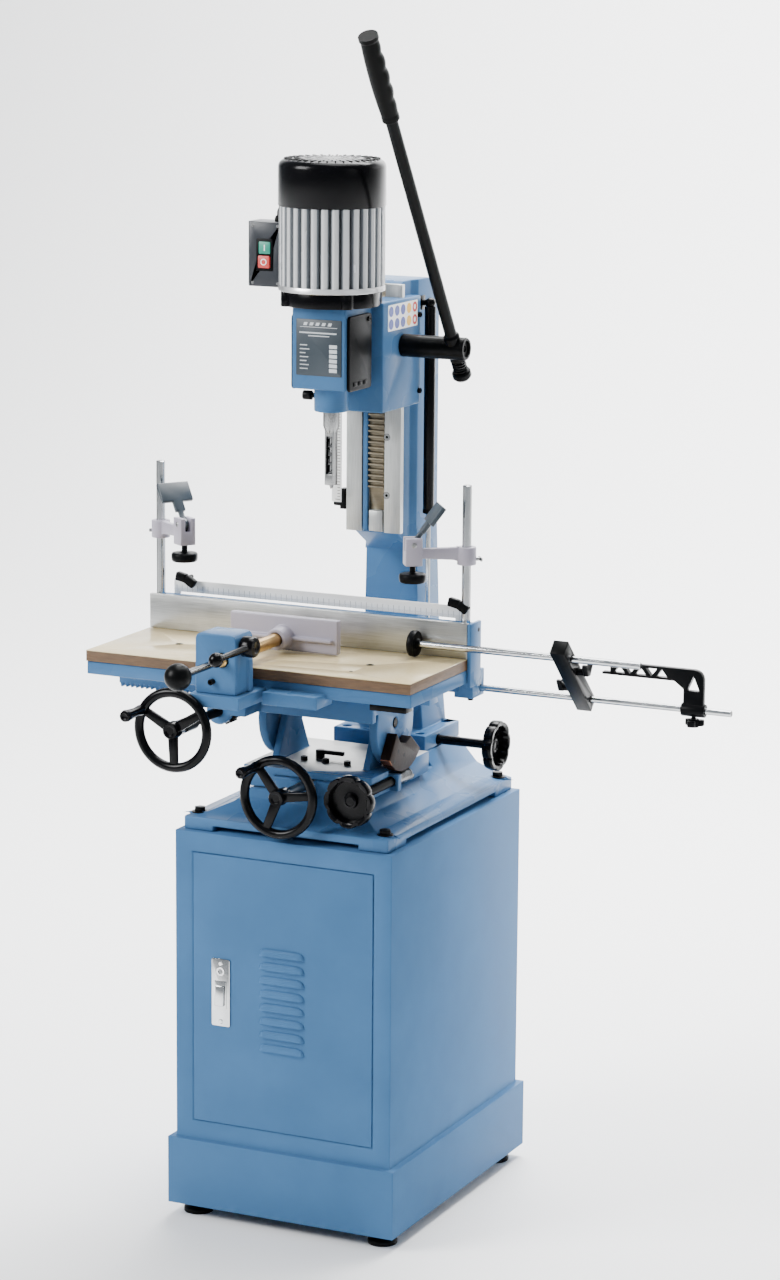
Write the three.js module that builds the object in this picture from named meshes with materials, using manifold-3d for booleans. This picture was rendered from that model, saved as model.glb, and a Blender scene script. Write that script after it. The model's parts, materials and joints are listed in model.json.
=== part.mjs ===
// Floor-standing hollow-chisel mortiser with a tilting cross-slide table on a cabinet stand.
// Millimetres, +Z up, drawn from the floor under the cabinet's centre. +X is the operator's right, -Y the front.
import * as THREE from "three";
import { mergeVertices } from "three/addons/utils/BufferGeometryUtils.js";
import Module from "manifold-3d";

const wasm = await Module();
wasm.setup();

// ---- driving dimensions ----
const GAP = 0.4; // between pieces that touch
const RUN = 0.5; // radial clearance of shafts that turn or slide

const CABINET = { width: 397, depth: 520, top: 669, bottom: 22, wall: 3, floor: 136 };
const SKIRT = { out: 11, top: 138.5 };
const FOOT = { r: 25, height: 13, stem: 8, inset: 38 };
const DOOR = { width: 330, bottom: 171.5, top: 633.5, thick: 2.8, gap: 1.7, frame: 17 };
const LOUVRE = { count: 8, width: 84, pitch: 23.4, first: 480, rise: 5, height: 13 };
const LATCH = { x: -112.8, width: 34, bottom: 341.5, top: 457.5, thick: 2, paddle: 16, paddleTop: 412 };

const BASE = { width: 374, depth: 500, flange: 28, deck: 732, seat: 754, seatWidth: 88, seatFront: 100,
  relief: 24 };
const RAIL = { half: 60, undercut: 10, height: 24 };
const SCREW = { z: 748, r: 8, front: -264, back: 94 };

const SADDLE = { half: 118, front: -170, back: 55, top: 770 };
const PIVOT = { y: -62, z: 842, pin: 9 };
const EAR = { inner: 78, thick: 13, top: 24, foot: 60 };
const MOON = { inner: 95, thick: 15, r: 71 };
const CARRIER = { top: 892, under: 868, front: -150, back: 8 };
const TABLE_RAIL = { half: 45, undercut: 7, height: 16 };
const SECTOR = { r: 80, inner: 34, thick: 18, from: -140, to: -42 };
const WORM = { z: 750, r: 11, shaft: 8, from: -84, to: -40, front: -247 };

const TABLE = { left: -366, right: 228, front: -259, plate: 22, top: 956, wood: 18.6 };
const FENCE = { face: -40, plate: 8, top: 1015, back: -4, endWidth: 7, endBottom: 908, endBack: 3 };
const MODULE_MM = 3;
const TRAVERSE = { teeth: 15, x: -147, rackFront: -186, rackBack: -166, left: -345, right: -32,
  rackTeeth: 32 };
const BRACKET = { front: -205, thick: 14, r: 22, bottom: 858, top: 878, right: -96 };
const WHEEL = { r: 70, rim: 8, hub: 13, width: 15 };
const TRAVERSE_WHEEL_FRONT = -372;
const CROSS_WHEEL_FRONT = -285;
const KNOB = { r: 44, depth: 26, rim: 7, hub: 12 };
const REAR_KNOB = { y: 160, z: 766, x: 180, shaft: 8 };

const COLUMN = { foot: 87, front: 105, back: 248, footTop: 782, face: 150, rear: 235, half: 47, top: 1556 };
const WAYS = { front: 75, back: 87, half: 50, neck: 40, bottom: 1133, top: 1553 };
const RACK = { x: 4.5, width: 29, pitchY: 79, bottom: 1192, teeth: 14 };

const AXIS_Y = -85; // spindle axis, with X = 0
const HEAD = { half: 48, front: -133, bottom: 1398, top: 1532, bore: 32 };
const CARRIAGE = { half: 62, front: -20, back: 127, bottom: 1350 };
const COLLAR = { r: 28.3, bottom: 1358, bore: 14 };
const MOTOR = { flangeStep: 8, housing: 1557, cap: 1694, top: 1771, r: 87, fin: 6, fins: 30, wall: 8 };
const CHISEL = { side: 16, bore: 6.9, tip: 1236, shoulder: 1322, shank: 13.5 };
const AUGER = { r: 6.2, tip: 1228, top: 1388 };
const SWITCH = { x: -126.6, y: -54, width: 40, height: 106, bottom: 1555, depth: 52 };

const HUB = { y: 58, z: 1455, r: 19, end: 178, bore: 10 };
const LEVER = { x: 156, r: 10, length: 462, lean: 33, grip: 18, gripLength: 158, stub: 62 };
const GAS = { x: 73, y: 141, r: 9.5, bore: 5.4, rod: 4, bottom: 1162, top: 1512, foot: 958, rodTop: 1262 };
const STOP_BLOCK = { bottom: 1168, top: 1203 };

const CLAMP = { x: -69, z: 981, left: -117, right: -43, front: -340, back: -280, top: 1023, tab: 924 };
const CLAMP_ROD = { brass: 11, thin: 6, brassFront: -346, ball: -486, ballR: 22 };
const CLAMP_PLATE = { left: -168, right: 31, front: -122, back: -108, top: 1016 };
const LOCK = { y: -318, z: 1003, r: 17, reach: 118, ball: 12 };

const POST = { x: [-356, 216], y: -18, r: 7.5, bottom: 962, top: 1242 };
const ARM = { z: 1125, length: 90, turn: 35, collar: 16, head: 14, height: 30, cheek: 32, pivot: 21 };
const PAD = { r: 22.5, thick: 15, screw: 5, z: 1090 };
const PADDLE = { length: 79, width: 58, palm: 36, stem: 18, thick: 8, rise: 53 };

const ROD_UP = { y: -65, z: 979.5, r: 5.8, from: 150, to: 545, disc: 22, discWidth: 12 };
const ROD_LOW = { y: 20, z: 897, r: 5.3, from: 180, to: 670 };
const LINK = { x: 412, size: 26, over: 33, under: 18 };
const TRUSS = { left: 446, right: 622, top: 964, depth: 21, leg: 34, thick: 12 };
const ROD_BOSS = { length: 34, wide: 26, bottom: 884 };

// ---- shape helpers ----
const DIRECTIONS = {
  x: [new THREE.Vector3(0, 1, 0), new THREE.Vector3(0, 0, 1), new THREE.Vector3(1, 0, 0)],
  y: [new THREE.Vector3(1, 0, 0), new THREE.Vector3(0, 0, 1), new THREE.Vector3(0, -1, 0)],
  z: [new THREE.Vector3(1, 0, 0), new THREE.Vector3(0, 1, 0), new THREE.Vector3(0, 0, 1)],
};

// A closed three.js geometry as a manifold-3d solid.
function solid(geometry) {
  const bare = new THREE.BufferGeometry();
  bare.setAttribute("position", geometry.getAttribute("position"));
  bare.setIndex(geometry.index);
  const merged = mergeVertices(bare, 1e-3);
  const vertProperties = merged.getAttribute("position").array;
  const triVerts = new Uint32Array(merged.index.array);
  return new wasm.Manifold(new wasm.Mesh({ numProp: 3, vertProperties, triVerts }));
}

function block(x0, x1, y0, y1, z0, z1) {
  const box = new THREE.BoxGeometry(x1 - x0, y1 - y0, z1 - z0);
  return solid(box.translate((x0 + x1) / 2, (y0 + y1) / 2, (z0 + z1) / 2));
}

// An outline drawn in the plane across an axis and carried along it: (Y, Z) for x, (X, Z) for y, (X, Y) for z.
function prism(axis, outline, from, to) {
  const shape = new THREE.Shape(outline.map(([a, b]) => new THREE.Vector2(a, b)));
  const body = new THREE.ExtrudeGeometry(shape, { depth: to - from, bevelEnabled: false });
  const place = new THREE.Matrix4().makeBasis(...DIRECTIONS[axis]);
  const start = { x: [from, 0, 0], y: [0, to, 0], z: [0, 0, from] }[axis];
  return solid(body.applyMatrix4(place.setPosition(...start)));
}

// A round bar or cone along an axis, centred at (a, b) in the plane across it.
function rod(axis, a, b, from, to, r, rEnd = r, sides = 20) {
  return turned(axis, a, b, [[0, from], [r, from], [rEnd, to], [0, to]], sides);
}

// A turned piece: profile of [radius, place along the axis], from axis to axis or closed on itself.
function turned(axis, a, b, profile, sides = 24) {
  const lathe = new THREE.LatheGeometry(profile.map(([r, h]) => new THREE.Vector2(r, h)), sides);
  const place = new THREE.Matrix4();
  if (axis === "x") place.makeRotationZ(-Math.PI / 2).setPosition(0, a, b);
  if (axis === "y") place.setPosition(a, 0, b);
  if (axis === "z") place.makeRotationX(Math.PI / 2).setPosition(a, b, 0);
  return solid(lathe.applyMatrix4(place));
}

function ball(x, y, z, r) {
  return solid(new THREE.SphereGeometry(r, 18, 11).translate(x, y, z));
}

function join(first, ...others) {
  return others.reduce((all, next) => all.add(next), first);
}

function cut(body, ...tools) {
  return tools.reduce((left, tool) => left.subtract(tool), body);
}

function mirrored(outline) {
  return outline.concat(outline.map(([a, b]) => [-a, b]).reverse());
}

function arc(a, b, r, fromDeg, toDeg, steps) {
  return Array.from({ length: steps + 1 }, (_, i) => {
    const angle = THREE.MathUtils.degToRad(fromDeg + ((toDeg - fromDeg) * i) / steps);
    return [a + r * Math.cos(angle), b + r * Math.sin(angle)];
  });
}

// Tooth half-widths as shares of the pitch, with room for backlash.
const TOOTH = { root: 0.29, tip: 0.15, over: 1, under: 1.25 };

function gearOutline(a, b, teeth, phaseDeg) {
  const r = (MODULE_MM * teeth) / 2;
  const step = 360 / teeth;
  const low = r - TOOTH.under * MODULE_MM;
  const high = r + TOOTH.over * MODULE_MM;
  return Array.from({ length: teeth }, (_, i) => phaseDeg + i * step).flatMap((at) =>
    [[low, -TOOTH.root], [high, -TOOTH.tip], [high, TOOTH.tip], [low, TOOTH.root]].map(([radius,
      share]) => {
      const angle = THREE.MathUtils.degToRad(at + share * step);
      return [a + radius * Math.cos(angle), b + radius * Math.sin(angle)];
    }),
  );
}

// One side of a rack: [along, height above the pitch line] with a tooth centred on every pitch from `first`.
function rackProfile(first, count) {
  const pitch = Math.PI * MODULE_MM;
  return Array.from({ length: count }, (_, i) => first + i * pitch).flatMap((at) => [
    [at - TOOTH.root * pitch, -TOOTH.under * MODULE_MM],
    [at - TOOTH.tip * pitch, TOOTH.over * MODULE_MM],
    [at + TOOTH.tip * pitch, TOOTH.over * MODULE_MM],
    [at + TOOTH.root * pitch, -TOOTH.under * MODULE_MM],
  ]);
}

// ---- materials ----
const paint = (color, roughness, metalness) => new THREE.MeshStandardMaterial({ color, roughness,
  metalness });
const BLUE = paint(0x6f9cc6, 0.35, 0.1);
const BLACK = paint(0x15161a, 0.4, 0.1);
const STEEL = paint(0xb9bcbc, 0.35, 0.9);
const CHROME = paint(0xdfe3e6, 0.12, 1);
const BRASS = paint(0xc9a25a, 0.3, 0.9);
const LAVENDER = paint(0xb9b6c6, 0.45, 0.2);
const ALUMINIUM = paint(0xd5d8da, 0.35, 0.8);
const LAMINATE = paint(0xdccba6, 0.4, 0);
const BRONZE = paint(0x4a352f, 0.5, 0.3);
const WHITE = paint(0xf3f3f1, 0.5, 0);
const GREEN = paint(0x4fb59a, 0.4, 0);
const RED = paint(0xd9635a, 0.4, 0);
const GREY = paint(0x5b636c, 0.5, 0);

const machine = new THREE.Group();

function part(name, body, material, at = [0, 0, 0], turn = [0, 0, 0]) {
  const { vertProperties, triVerts } = body.getMesh();
  const geometry = new THREE.BufferGeometry();
  geometry.setAttribute("position", new THREE.BufferAttribute(vertProperties, 3));
  geometry.setIndex(new THREE.BufferAttribute(triVerts, 1));
  geometry.computeVertexNormals();
  const mesh = new THREE.Mesh(geometry, material);
  mesh.name = name;
  mesh.position.set(...at);
  mesh.rotation.set(...turn.map(THREE.MathUtils.degToRad));
  machine.add(mesh);
}

// ---- cabinet stand ----
const cabX = CABINET.width / 2;
const cabY = CABINET.depth / 2;
const doorX = DOOR.width / 2;

function cabinet() {
  const w = CABINET.wall;
  const open = doorX + DOOR.gap;
  const low = DOOR.bottom - DOOR.gap;
  const high = DOOR.top + DOOR.gap;
  const frame = DOOR.frame;
  const frameBack = -cabY + w + 12;
  let body = join(
    block(-cabX, cabX, -cabY, cabY, CABINET.bottom, CABINET.top),
    block(-cabX - SKIRT.out, cabX + SKIRT.out, -cabY - SKIRT.out, cabY + SKIRT.out, CABINET.bottom,
      SKIRT.top),
  );
  body = cut(
    body,
    block(-cabX + w, cabX - w, -cabY + w, cabY - w, CABINET.floor + w, CABINET.top - w),
    block(-cabX + w, cabX - w, -cabY + w, cabY - w, 0, CABINET.floor),
  );
  const rim = block(-open - 12, open + 12, -cabY + w - 1, frameBack, low - 12, high + 12);
  body = cut(
    join(body, rim),
    block(-open, open, -cabY - 1, -cabY + w, low, high),
    block(-open + frame, open - frame, -cabY - 1, frameBack + 1, low + frame, high - frame),
  );
  for (const sx of [-1, 1])
    for (const sy of [-1, 1]) {
      const x = sx * (cabX - FOOT.inset + 12);
      const y = sy * (cabY - FOOT.inset + 8);
      body = join(
        body,
        block(x - 30, x + 30, y - 30, y + 30, CABINET.bottom, CABINET.bottom + 5)
          .intersect(block(-cabX, cabX, -cabY, cabY, 0, 60)),
        rod("z", x, y, FOOT.height - 1, CABINET.bottom + 12, FOOT.stem, FOOT.stem, 12),
        turned("z", x, y, [[0, 0], [FOOT.r, 0], [FOOT.r, 8], [12, FOOT.height], [0, FOOT.height]], 20),
      );
    }
  part("cabinet", body, BLUE);
}

function cabinetDoor() {
  let body = block(-doorX, doorX, -cabY, -cabY + DOOR.thick, DOOR.bottom, DOOR.top);
  for (let i = 0; i < LOUVRE.count; i++) {
    const z = LOUVRE.first - i * LOUVRE.pitch;
    const wedge = [[-cabY + 1, z + LOUVRE.height / 2], [-cabY - LOUVRE.rise, z - LOUVRE.height / 4],
      [-cabY - LOUVRE.rise, z - LOUVRE.height / 2], [-cabY + 1, z - LOUVRE.height / 2]];
    body = join(body, prism("x", wedge, -LOUVRE.width / 2, LOUVRE.width / 2));
  }
  const half = LATCH.width / 2;
  body = join(body, block(LATCH.x - half, LATCH.x + half, -cabY - LATCH.thick, -cabY + 1, LATCH.bottom,
    LATCH.top));
  part("cabinet_door", body, BLUE);
  const front = -cabY - LATCH.thick - GAP;
  const paddle = [[front, LATCH.paddleTop], [front, LATCH.paddleTop - 34], [front - 7,
    LATCH.paddleTop - 34],
    [front - 4, LATCH.paddleTop]];
  part("door_latch_paddle", prism("x", paddle, LATCH.x - LATCH.paddle / 2, LATCH.x + LATCH.paddle / 2),
    CHROME);
}

// ---- base casting, column and ways ----
const baseX = BASE.width / 2;
const baseY = BASE.depth / 2;
const baseBottom = CABINET.top + GAP;
const railTop = BASE.deck + RAIL.height;

function baseCasting() {
  const flangeTop = baseBottom + BASE.flange;
  const across = mirrored([[0, baseBottom], [baseX, baseBottom], [baseX, flangeTop - 6], [baseX - 32,
    flangeTop],
    [baseX - 66, flangeTop + 15], [baseX - 88, BASE.deck + 6], [BASE.seatWidth, BASE.seat], [0,
      BASE.seat]]);
  const along = [[-baseY, baseBottom], [baseY, baseBottom], [baseY, flangeTop], [COLUMN.back, BASE.seat],
    [BASE.seatFront, BASE.seat], [BASE.seatFront, BASE.deck], [SADDLE.front - 6, BASE.deck],
    [SADDLE.front - 18, BASE.deck - 14], [SADDLE.front - 42, flangeTop + 8], [-baseY + 22, flangeTop],
    [-baseY, flangeTop - 6]];
  let body = prism("y", across, -baseY, baseY).intersect(prism("x", along, -baseX, baseX));
  const rail = mirrored([[0, BASE.deck - 2], [RAIL.half - RAIL.undercut, BASE.deck - 2],
    [RAIL.half - RAIL.undercut, BASE.deck], [RAIL.half, railTop], [0, railTop]]);
  body = join(body, prism("y", rail, SADDLE.front - 6, BASE.seatFront + 2));
  body = cut(
    body,
    block(-14, 14, SADDLE.front - 20, BASE.seatFront - 4, SCREW.z - 18, railTop + 5),
    ...[-1, 1].flatMap((s) => [
      block(-133, 133, s * baseY - BASE.relief, s * baseY + BASE.relief, baseBottom - 1, baseBottom + 9),
      block(s * baseX - BASE.relief, s * baseX + BASE.relief, -180, 180, baseBottom - 1, baseBottom + 9),
    ]),
  );
  const bearing = block(-22, 22, SADDLE.front - 20, SADDLE.front - 6, BASE.deck - 22, railTop);
  body = cut(join(body, bearing), rod("y", 0, SCREW.z, SADDLE.front - 40, SADDLE.front, SCREW.r + RUN));
  for (const sx of [-1, 1])
    for (const sy of [-1, 1]) body = join(body, boltOnFlange(sx * (baseX - 17), sy * (baseY - 24),
      flangeTop));
  body = cut(body, rod("x", REAR_KNOB.y, REAR_KNOB.z, 0, baseX, REAR_KNOB.shaft + RUN));
  part("base_casting", body, BLUE);
}

function boltOnFlange(x, y, top) {
  return join(rod("z", x, y, top - 12, top - 4, 13, 13, 16), rod("z", x, y, top - 6, top + 5, 9, 9, 6));
}

function column() {
  const seat = BASE.seat + GAP;
  const neck = [[-WAYS.neck, WAYS.back + GAP], [WAYS.neck, WAYS.back + GAP], [WAYS.neck, 133],
    [COLUMN.half, COLUMN.face], [COLUMN.half, COLUMN.rear], [-COLUMN.half, COLUMN.rear],
    [-COLUMN.half, COLUMN.face], [-WAYS.neck, 133]];
  const side = [[COLUMN.face, seat], [COLUMN.rear + 12, seat], [COLUMN.rear, WAYS.bottom],
    [COLUMN.rear, COLUMN.top - 50], ...arc(COLUMN.rear - 50, COLUMN.top - 50, 50, 0, 90, 5),
    [WAYS.back + 20, COLUMN.top], [WAYS.back + GAP, COLUMN.top - 12], [WAYS.back + GAP, WAYS.bottom - 2],
    [COLUMN.face, WAYS.bottom - 40]];
  const front = mirrored([[0, seat], [64, seat], [COLUMN.half + 4, seat + 170], [COLUMN.half, WAYS.bottom],
    [COLUMN.half, COLUMN.top], [0, COLUMN.top]]);
  const upper = prism("z", neck, WAYS.bottom - 60, COLUMN.top);
  const lower = block(-70, 70, COLUMN.face, COLUMN.rear + 12, seat, WAYS.bottom + 20);
  let body = join(upper, lower).intersect(prism("x", side, -70, 70)).intersect(prism("y", front, 60, 260));
  body = join(
    body,
    block(-COLUMN.foot, COLUMN.foot, COLUMN.front, COLUMN.back, seat, COLUMN.footTop),
    block(COLUMN.half - 6, GAS.x + 9, GAS.y - 9, GAS.y + 24, GAS.foot - 26, GAS.foot - GAP),
  );
  for (const sx of [-1, 1])
    for (const y of [COLUMN.front + 18, COLUMN.back - 18])
      body = cut(body, rod("z", sx * (COLUMN.foot - 18), y, COLUMN.footTop - 16, COLUMN.footTop + 1, 8, 8,
        14));
  body = cut(body, rod("x", REAR_KNOB.y, REAR_KNOB.z, 0, COLUMN.foot + 2, REAR_KNOB.shaft + RUN));
  part("column", body, BLUE);
}

function ways() {
  const half = WAYS.half;
  const body = join(
    block(-half, -21, WAYS.front, WAYS.back, WAYS.bottom, WAYS.top),
    block(21, half + 1, WAYS.front, WAYS.back, WAYS.bottom, WAYS.top),
    block(-22, 22, WAYS.back - 2.6, WAYS.back, WAYS.bottom + 6, WAYS.top),
  );
  part("way_plates", body, STEEL);
  const pitch = Math.PI * MODULE_MM;
  const teethBelow = Math.floor((HUB.z - RACK.bottom) / pitch - 1);
  const first = HUB.z - teethBelow * pitch;
  const count = teethBelow + 9;
  const face = rackProfile(first, count).map(([z, out]) => [RACK.pitchY - out, z]);
  const back = WAYS.back - 2.6 - GAP;
  const outline = [[back, RACK.bottom - 22], [RACK.pitchY + 3.75, RACK.bottom - 22], ...face,
    [RACK.pitchY + 3.75, WAYS.top], [back, WAYS.top]];
  part("head_rack", prism("x", outline, RACK.x - RACK.width / 2, RACK.x + RACK.width / 2), BRASS);
  const left = -half - GAP;
  const stop = join(
    block(left - 11, left, WAYS.front - 1, WAYS.back + 3, STOP_BLOCK.bottom, STOP_BLOCK.top),
    rod("x", WAYS.front + 6, STOP_BLOCK.bottom + 9, left - 24, left - 10, 5, 5, 12),
  );
  part("depth_stop", stop, BLACK);
}

// ---- head: carriage, motor, spindle ----
function headCasting() {
  const rear = block(-CARRIAGE.half, CARRIAGE.half, CARRIAGE.front, CARRIAGE.back, CARRIAGE.bottom,
    HEAD.top);
  const neck = block(-40, 40, -50, CARRIAGE.front + 2, HEAD.bottom, HEAD.top);
  const front = block(-HEAD.half, HEAD.half, HEAD.front, 2 * AXIS_Y - HEAD.front, HEAD.bottom, HEAD.top);
  const collar = rod("z", 0, AXIS_Y, COLLAR.bottom, HEAD.bottom + 2, COLLAR.r, COLLAR.r, 28);
  const pinionR = (MODULE_MM * RACK.teeth) / 2 + MODULE_MM;
  const halfWidth = RACK.width / 2 + 1.5;
  const body = cut(
    join(rear, neck, front, collar),
    block(-WAYS.half - 1.5, WAYS.half + 1.5, WAYS.front - 0.6, WAYS.back + 0.8, 1300, 1600),
    block(-WAYS.neck - 1, WAYS.neck + 1, WAYS.front, CARRIAGE.back + 1, 1300, 1600),
    rod("x", HUB.y, HUB.z, RACK.x - halfWidth, RACK.x + halfWidth, pinionR + 1.5, pinionR + 1.5, 24),
    rod("x", HUB.y, HUB.z, RACK.x, CARRIAGE.half + 1, HUB.bore + RUN),
    rod("z", 0, AXIS_Y, HEAD.bottom + 2, HEAD.top + 1, HEAD.bore, HEAD.bore, 28),
    rod("z", 0, AXIS_Y, COLLAR.bottom - 1, HEAD.bottom + 3, COLLAR.bore, COLLAR.bore, 24),
    rod("x", AXIS_Y, COLLAR.bottom + 24, -COLLAR.r - 5, 0, 4 + RUN, 4 + RUN, 14),
  );
  part("head_casting", body, BLUE);
}

function chiselAndAuger() {
  const half = CHISEL.side / 2;
  const body = cut(
    join(
      block(-half, half, AXIS_Y - half, AXIS_Y + half, CHISEL.tip, CHISEL.shoulder + 4),
      turned("z", 0, AXIS_Y, [[0, CHISEL.shoulder], [half + 1, CHISEL.shoulder], [CHISEL.shank,
        CHISEL.shoulder + 12],
        [CHISEL.shank, COLLAR.bottom + 38], [0, COLLAR.bottom + 38]], 20),
    ),
    rod("z", 0, AXIS_Y, CHISEL.tip - 1, COLLAR.bottom + 40, CHISEL.bore, CHISEL.bore, 16),
    block(-5.2, 5.2, AXIS_Y - 20, AXIS_Y, CHISEL.tip + 18, CHISEL.shoulder - 5),
  );
  part("hollow_chisel", body, STEEL);
  const auger = turned("z", 0, AXIS_Y, [[0, AUGER.tip], [AUGER.r, AUGER.tip + 7], [AUGER.r, AUGER.top],
    [5, AUGER.top], [5, 1420], [0, 1420]], 12);
  part("auger_bit", auger, STEEL);
  const screw = join(
    rod("x", AXIS_Y, COLLAR.bottom + 24, -COLLAR.r - 8, -CHISEL.shank - GAP, 4, 4, 12),
    rod("x", AXIS_Y, COLLAR.bottom + 24, -COLLAR.r - 22, -COLLAR.r - 7, 8, 8, 14),
  );
  part("chisel_lock_screw", screw, BLACK);
}

function motor() {
  const flangeR = MOTOR.r - MOTOR.flangeStep;
  const inner = MOTOR.r - MOTOR.fin - MOTOR.wall;
  const flangeTop = MOTOR.housing - GAP;
  const ears = [45, 135, 225, 315].map((deg) => {
    const [x, y] = arc(0, AXIS_Y, flangeR - 2, deg, deg, 1)[0];
    return rod("z", x, y, HEAD.top + GAP, flangeTop, 10, 10, 12);
  });
  const flange = cut(
    join(rod("z", 0, AXIS_Y, HEAD.top + GAP, flangeTop, flangeR, flangeR, 40), ...ears),
    rod("z", 0, AXIS_Y, HEAD.top + 8, flangeTop + 1, inner, inner, 28),
    rod("z", 0, AXIS_Y, HEAD.top - 1, HEAD.top + 9, 8 + RUN, 8 + RUN, 16),
  );
  part("motor_flange", flange, BLACK);
  const step = 360 / MOTOR.fins;
  const ring = Array.from({ length: MOTOR.fins }, (_, i) => i * step).flatMap((at) => [
    ...arc(0, AXIS_Y, MOTOR.r, at - step * 0.3, at + step * 0.3, 1),
    ...arc(0, AXIS_Y, MOTOR.r - MOTOR.fin, at + step * 0.42, at + step * 0.58, 1),
  ]);
  const pad = block(-MOTOR.r - 8, -inner + 6, SWITCH.y - 24, SWITCH.y + 24, MOTOR.housing, MOTOR.cap - GAP);
  const housing = cut(
    join(prism("z", ring, MOTOR.housing, MOTOR.cap - GAP), pad),
    rod("z", 0, AXIS_Y, MOTOR.housing - 1, MOTOR.cap, inner, inner, 28),
  );
  part("motor_housing", housing, ALUMINIUM);
  const crown = MOTOR.r + 1;
  const cap = turned("z", 0, AXIS_Y, [[crown - 4, MOTOR.cap], [crown, MOTOR.cap], [crown, MOTOR.top - 20],
    [crown - 8, MOTOR.top - 8], [crown - 30, MOTOR.top - 2], [0, MOTOR.top], [0, MOTOR.top - 4],
    [crown - 14, MOTOR.top - 14], [crown - 4, MOTOR.top - 24], [crown - 4, MOTOR.cap]], 40);
  part("motor_fan_cover", cap, BLACK);
  const core = inner - 3;
  const rotor = turned("z", 0, AXIS_Y, [[0, 1461.4], [8, 1461.4], [8, MOTOR.housing + 16], [core - 12,
    MOTOR.housing + 16],
    [core - 12, MOTOR.cap - 40], [8, MOTOR.cap - 40], [8, MOTOR.cap + 14], [core + 2, MOTOR.cap + 14],
    [core + 2, MOTOR.cap + 34], [14, MOTOR.cap + 34], [8, MOTOR.cap + 44], [0, MOTOR.cap + 44]], 24);
  part("motor_rotor_and_fan", rotor, STEEL);
  const chuck = turned("z", 0, AXIS_Y, [[5.4, 1402], [14, 1402], [22, 1420], [22, 1455], [12, 1461], [5.4,
    1461],
    [5.4, 1402]], 20);
  part("drill_chuck", chuck, CHROME);
}

function switchBox() {
  const half = SWITCH.width / 2;
  const front = SWITCH.y - SWITCH.depth / 2;
  const back = SWITCH.y + SWITCH.depth / 2;
  const right = -MOTOR.r - 8 - GAP;
  const left = SWITCH.x - half;
  const outline = [[left - 15, back], [left - 15, front + 12], [left - 8, front], [right, front], [right,
    back]];
  const top = SWITCH.bottom + SWITCH.height;
  const buttonX = (left + right) / 2 - 4;
  const start = SWITCH.bottom + 64;
  const stop = SWITCH.bottom + 41;
  const well = (z) => block(buttonX - 11, buttonX + 11, front - 1, front + 14, z - 10.5, z + 10.5);
  part("switch_box", cut(prism("z", outline, SWITCH.bottom, top), well(start), well(stop)), GREY);
  const button = (z, proud) =>
    block(buttonX - 11 + GAP, buttonX + 11 - GAP, front - proud, front + 8, z - 10.5 + GAP, z + 10.5 - GAP);
  part("start_button", button(start, 2), GREEN);
  part("stop_button", button(stop, 5), RED);
}

function gasSpring() {
  const cylinder = cut(
    join(
      rod("z", GAS.x, GAS.y, GAS.bottom, GAS.top, GAS.r),
      ball(GAS.x, GAS.y, GAS.top + 6, 9),
      rod("x", GAS.y, GAS.top + 6, CARRIAGE.half - 6, GAS.x, 5, 5, 12),
      block(CARRIAGE.half - 9, CARRIAGE.half - 2, CARRIAGE.back + GAP, GAS.y + 8, GAS.top - 6,
        GAS.top + 18),
    ),
    rod("z", GAS.x, GAS.y, GAS.bottom - 1, GAS.top - 8, GAS.bore, GAS.bore, 14),
  );
  part("gas_spring_cylinder", cylinder, BLACK);
  const piston = join(
    rod("z", GAS.x, GAS.y, GAS.foot + 4, GAS.rodTop, GAS.rod, GAS.rod, 12),
    rod("z", GAS.x, GAS.y, GAS.foot, GAS.foot + 14, 7, 7, 12),
  );
  part("gas_spring_rod", piston, CHROME);
}

function feedDrive() {
  const half = RACK.width / 2;
  const gear = prism("x", gearOutline(HUB.y, HUB.z, RACK.teeth, 90), RACK.x - half, RACK.x + half);
  part("feed_pinion", join(gear, rod("x", HUB.y, HUB.z, RACK.x, CARRIAGE.half - 1, HUB.bore)), STEEL);
  const hub = rod("x", 0, 0, CARRIAGE.half + GAP - LEVER.x, HUB.end - LEVER.x, HUB.r, HUB.r, 24);
  const lever = join(
    hub,
    rod("z", 0, 0, 0, LEVER.length + 8, LEVER.r, LEVER.r, 16),
    rod("z", 0, 0, -LEVER.stub, 0, 7, 7, 14),
    rod("z", 0, 0, -LEVER.stub, -LEVER.stub + 18, 15, 12, 18),
    rod("z", 0, 0, -LEVER.stub + 22, -HUB.r + 2, 11, 11, 16),
  );
  const centre = [LEVER.x, HUB.y, HUB.z];
  part("feed_lever", lever, BLACK, centre, [LEVER.lean, 0, 0]);
  const low = LEVER.length;
  const high = low + LEVER.gripLength;
  const grip = cut(
    turned("z", 0, 0, [[0, low], [LEVER.grip - 1, low], [LEVER.grip, low + 20], [LEVER.grip - 3, low + 60],
      [LEVER.grip - 2, high - 30], [LEVER.grip, high - 8], [LEVER.grip - 5, high], [0, high]], 18),
    rod("z", 0, 0, low - 1, low + 9, LEVER.r + GAP, LEVER.r + GAP, 16),
  );
  part("feed_lever_grip", grip, BLACK, centre, [LEVER.lean, 0, 0]);
}

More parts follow.
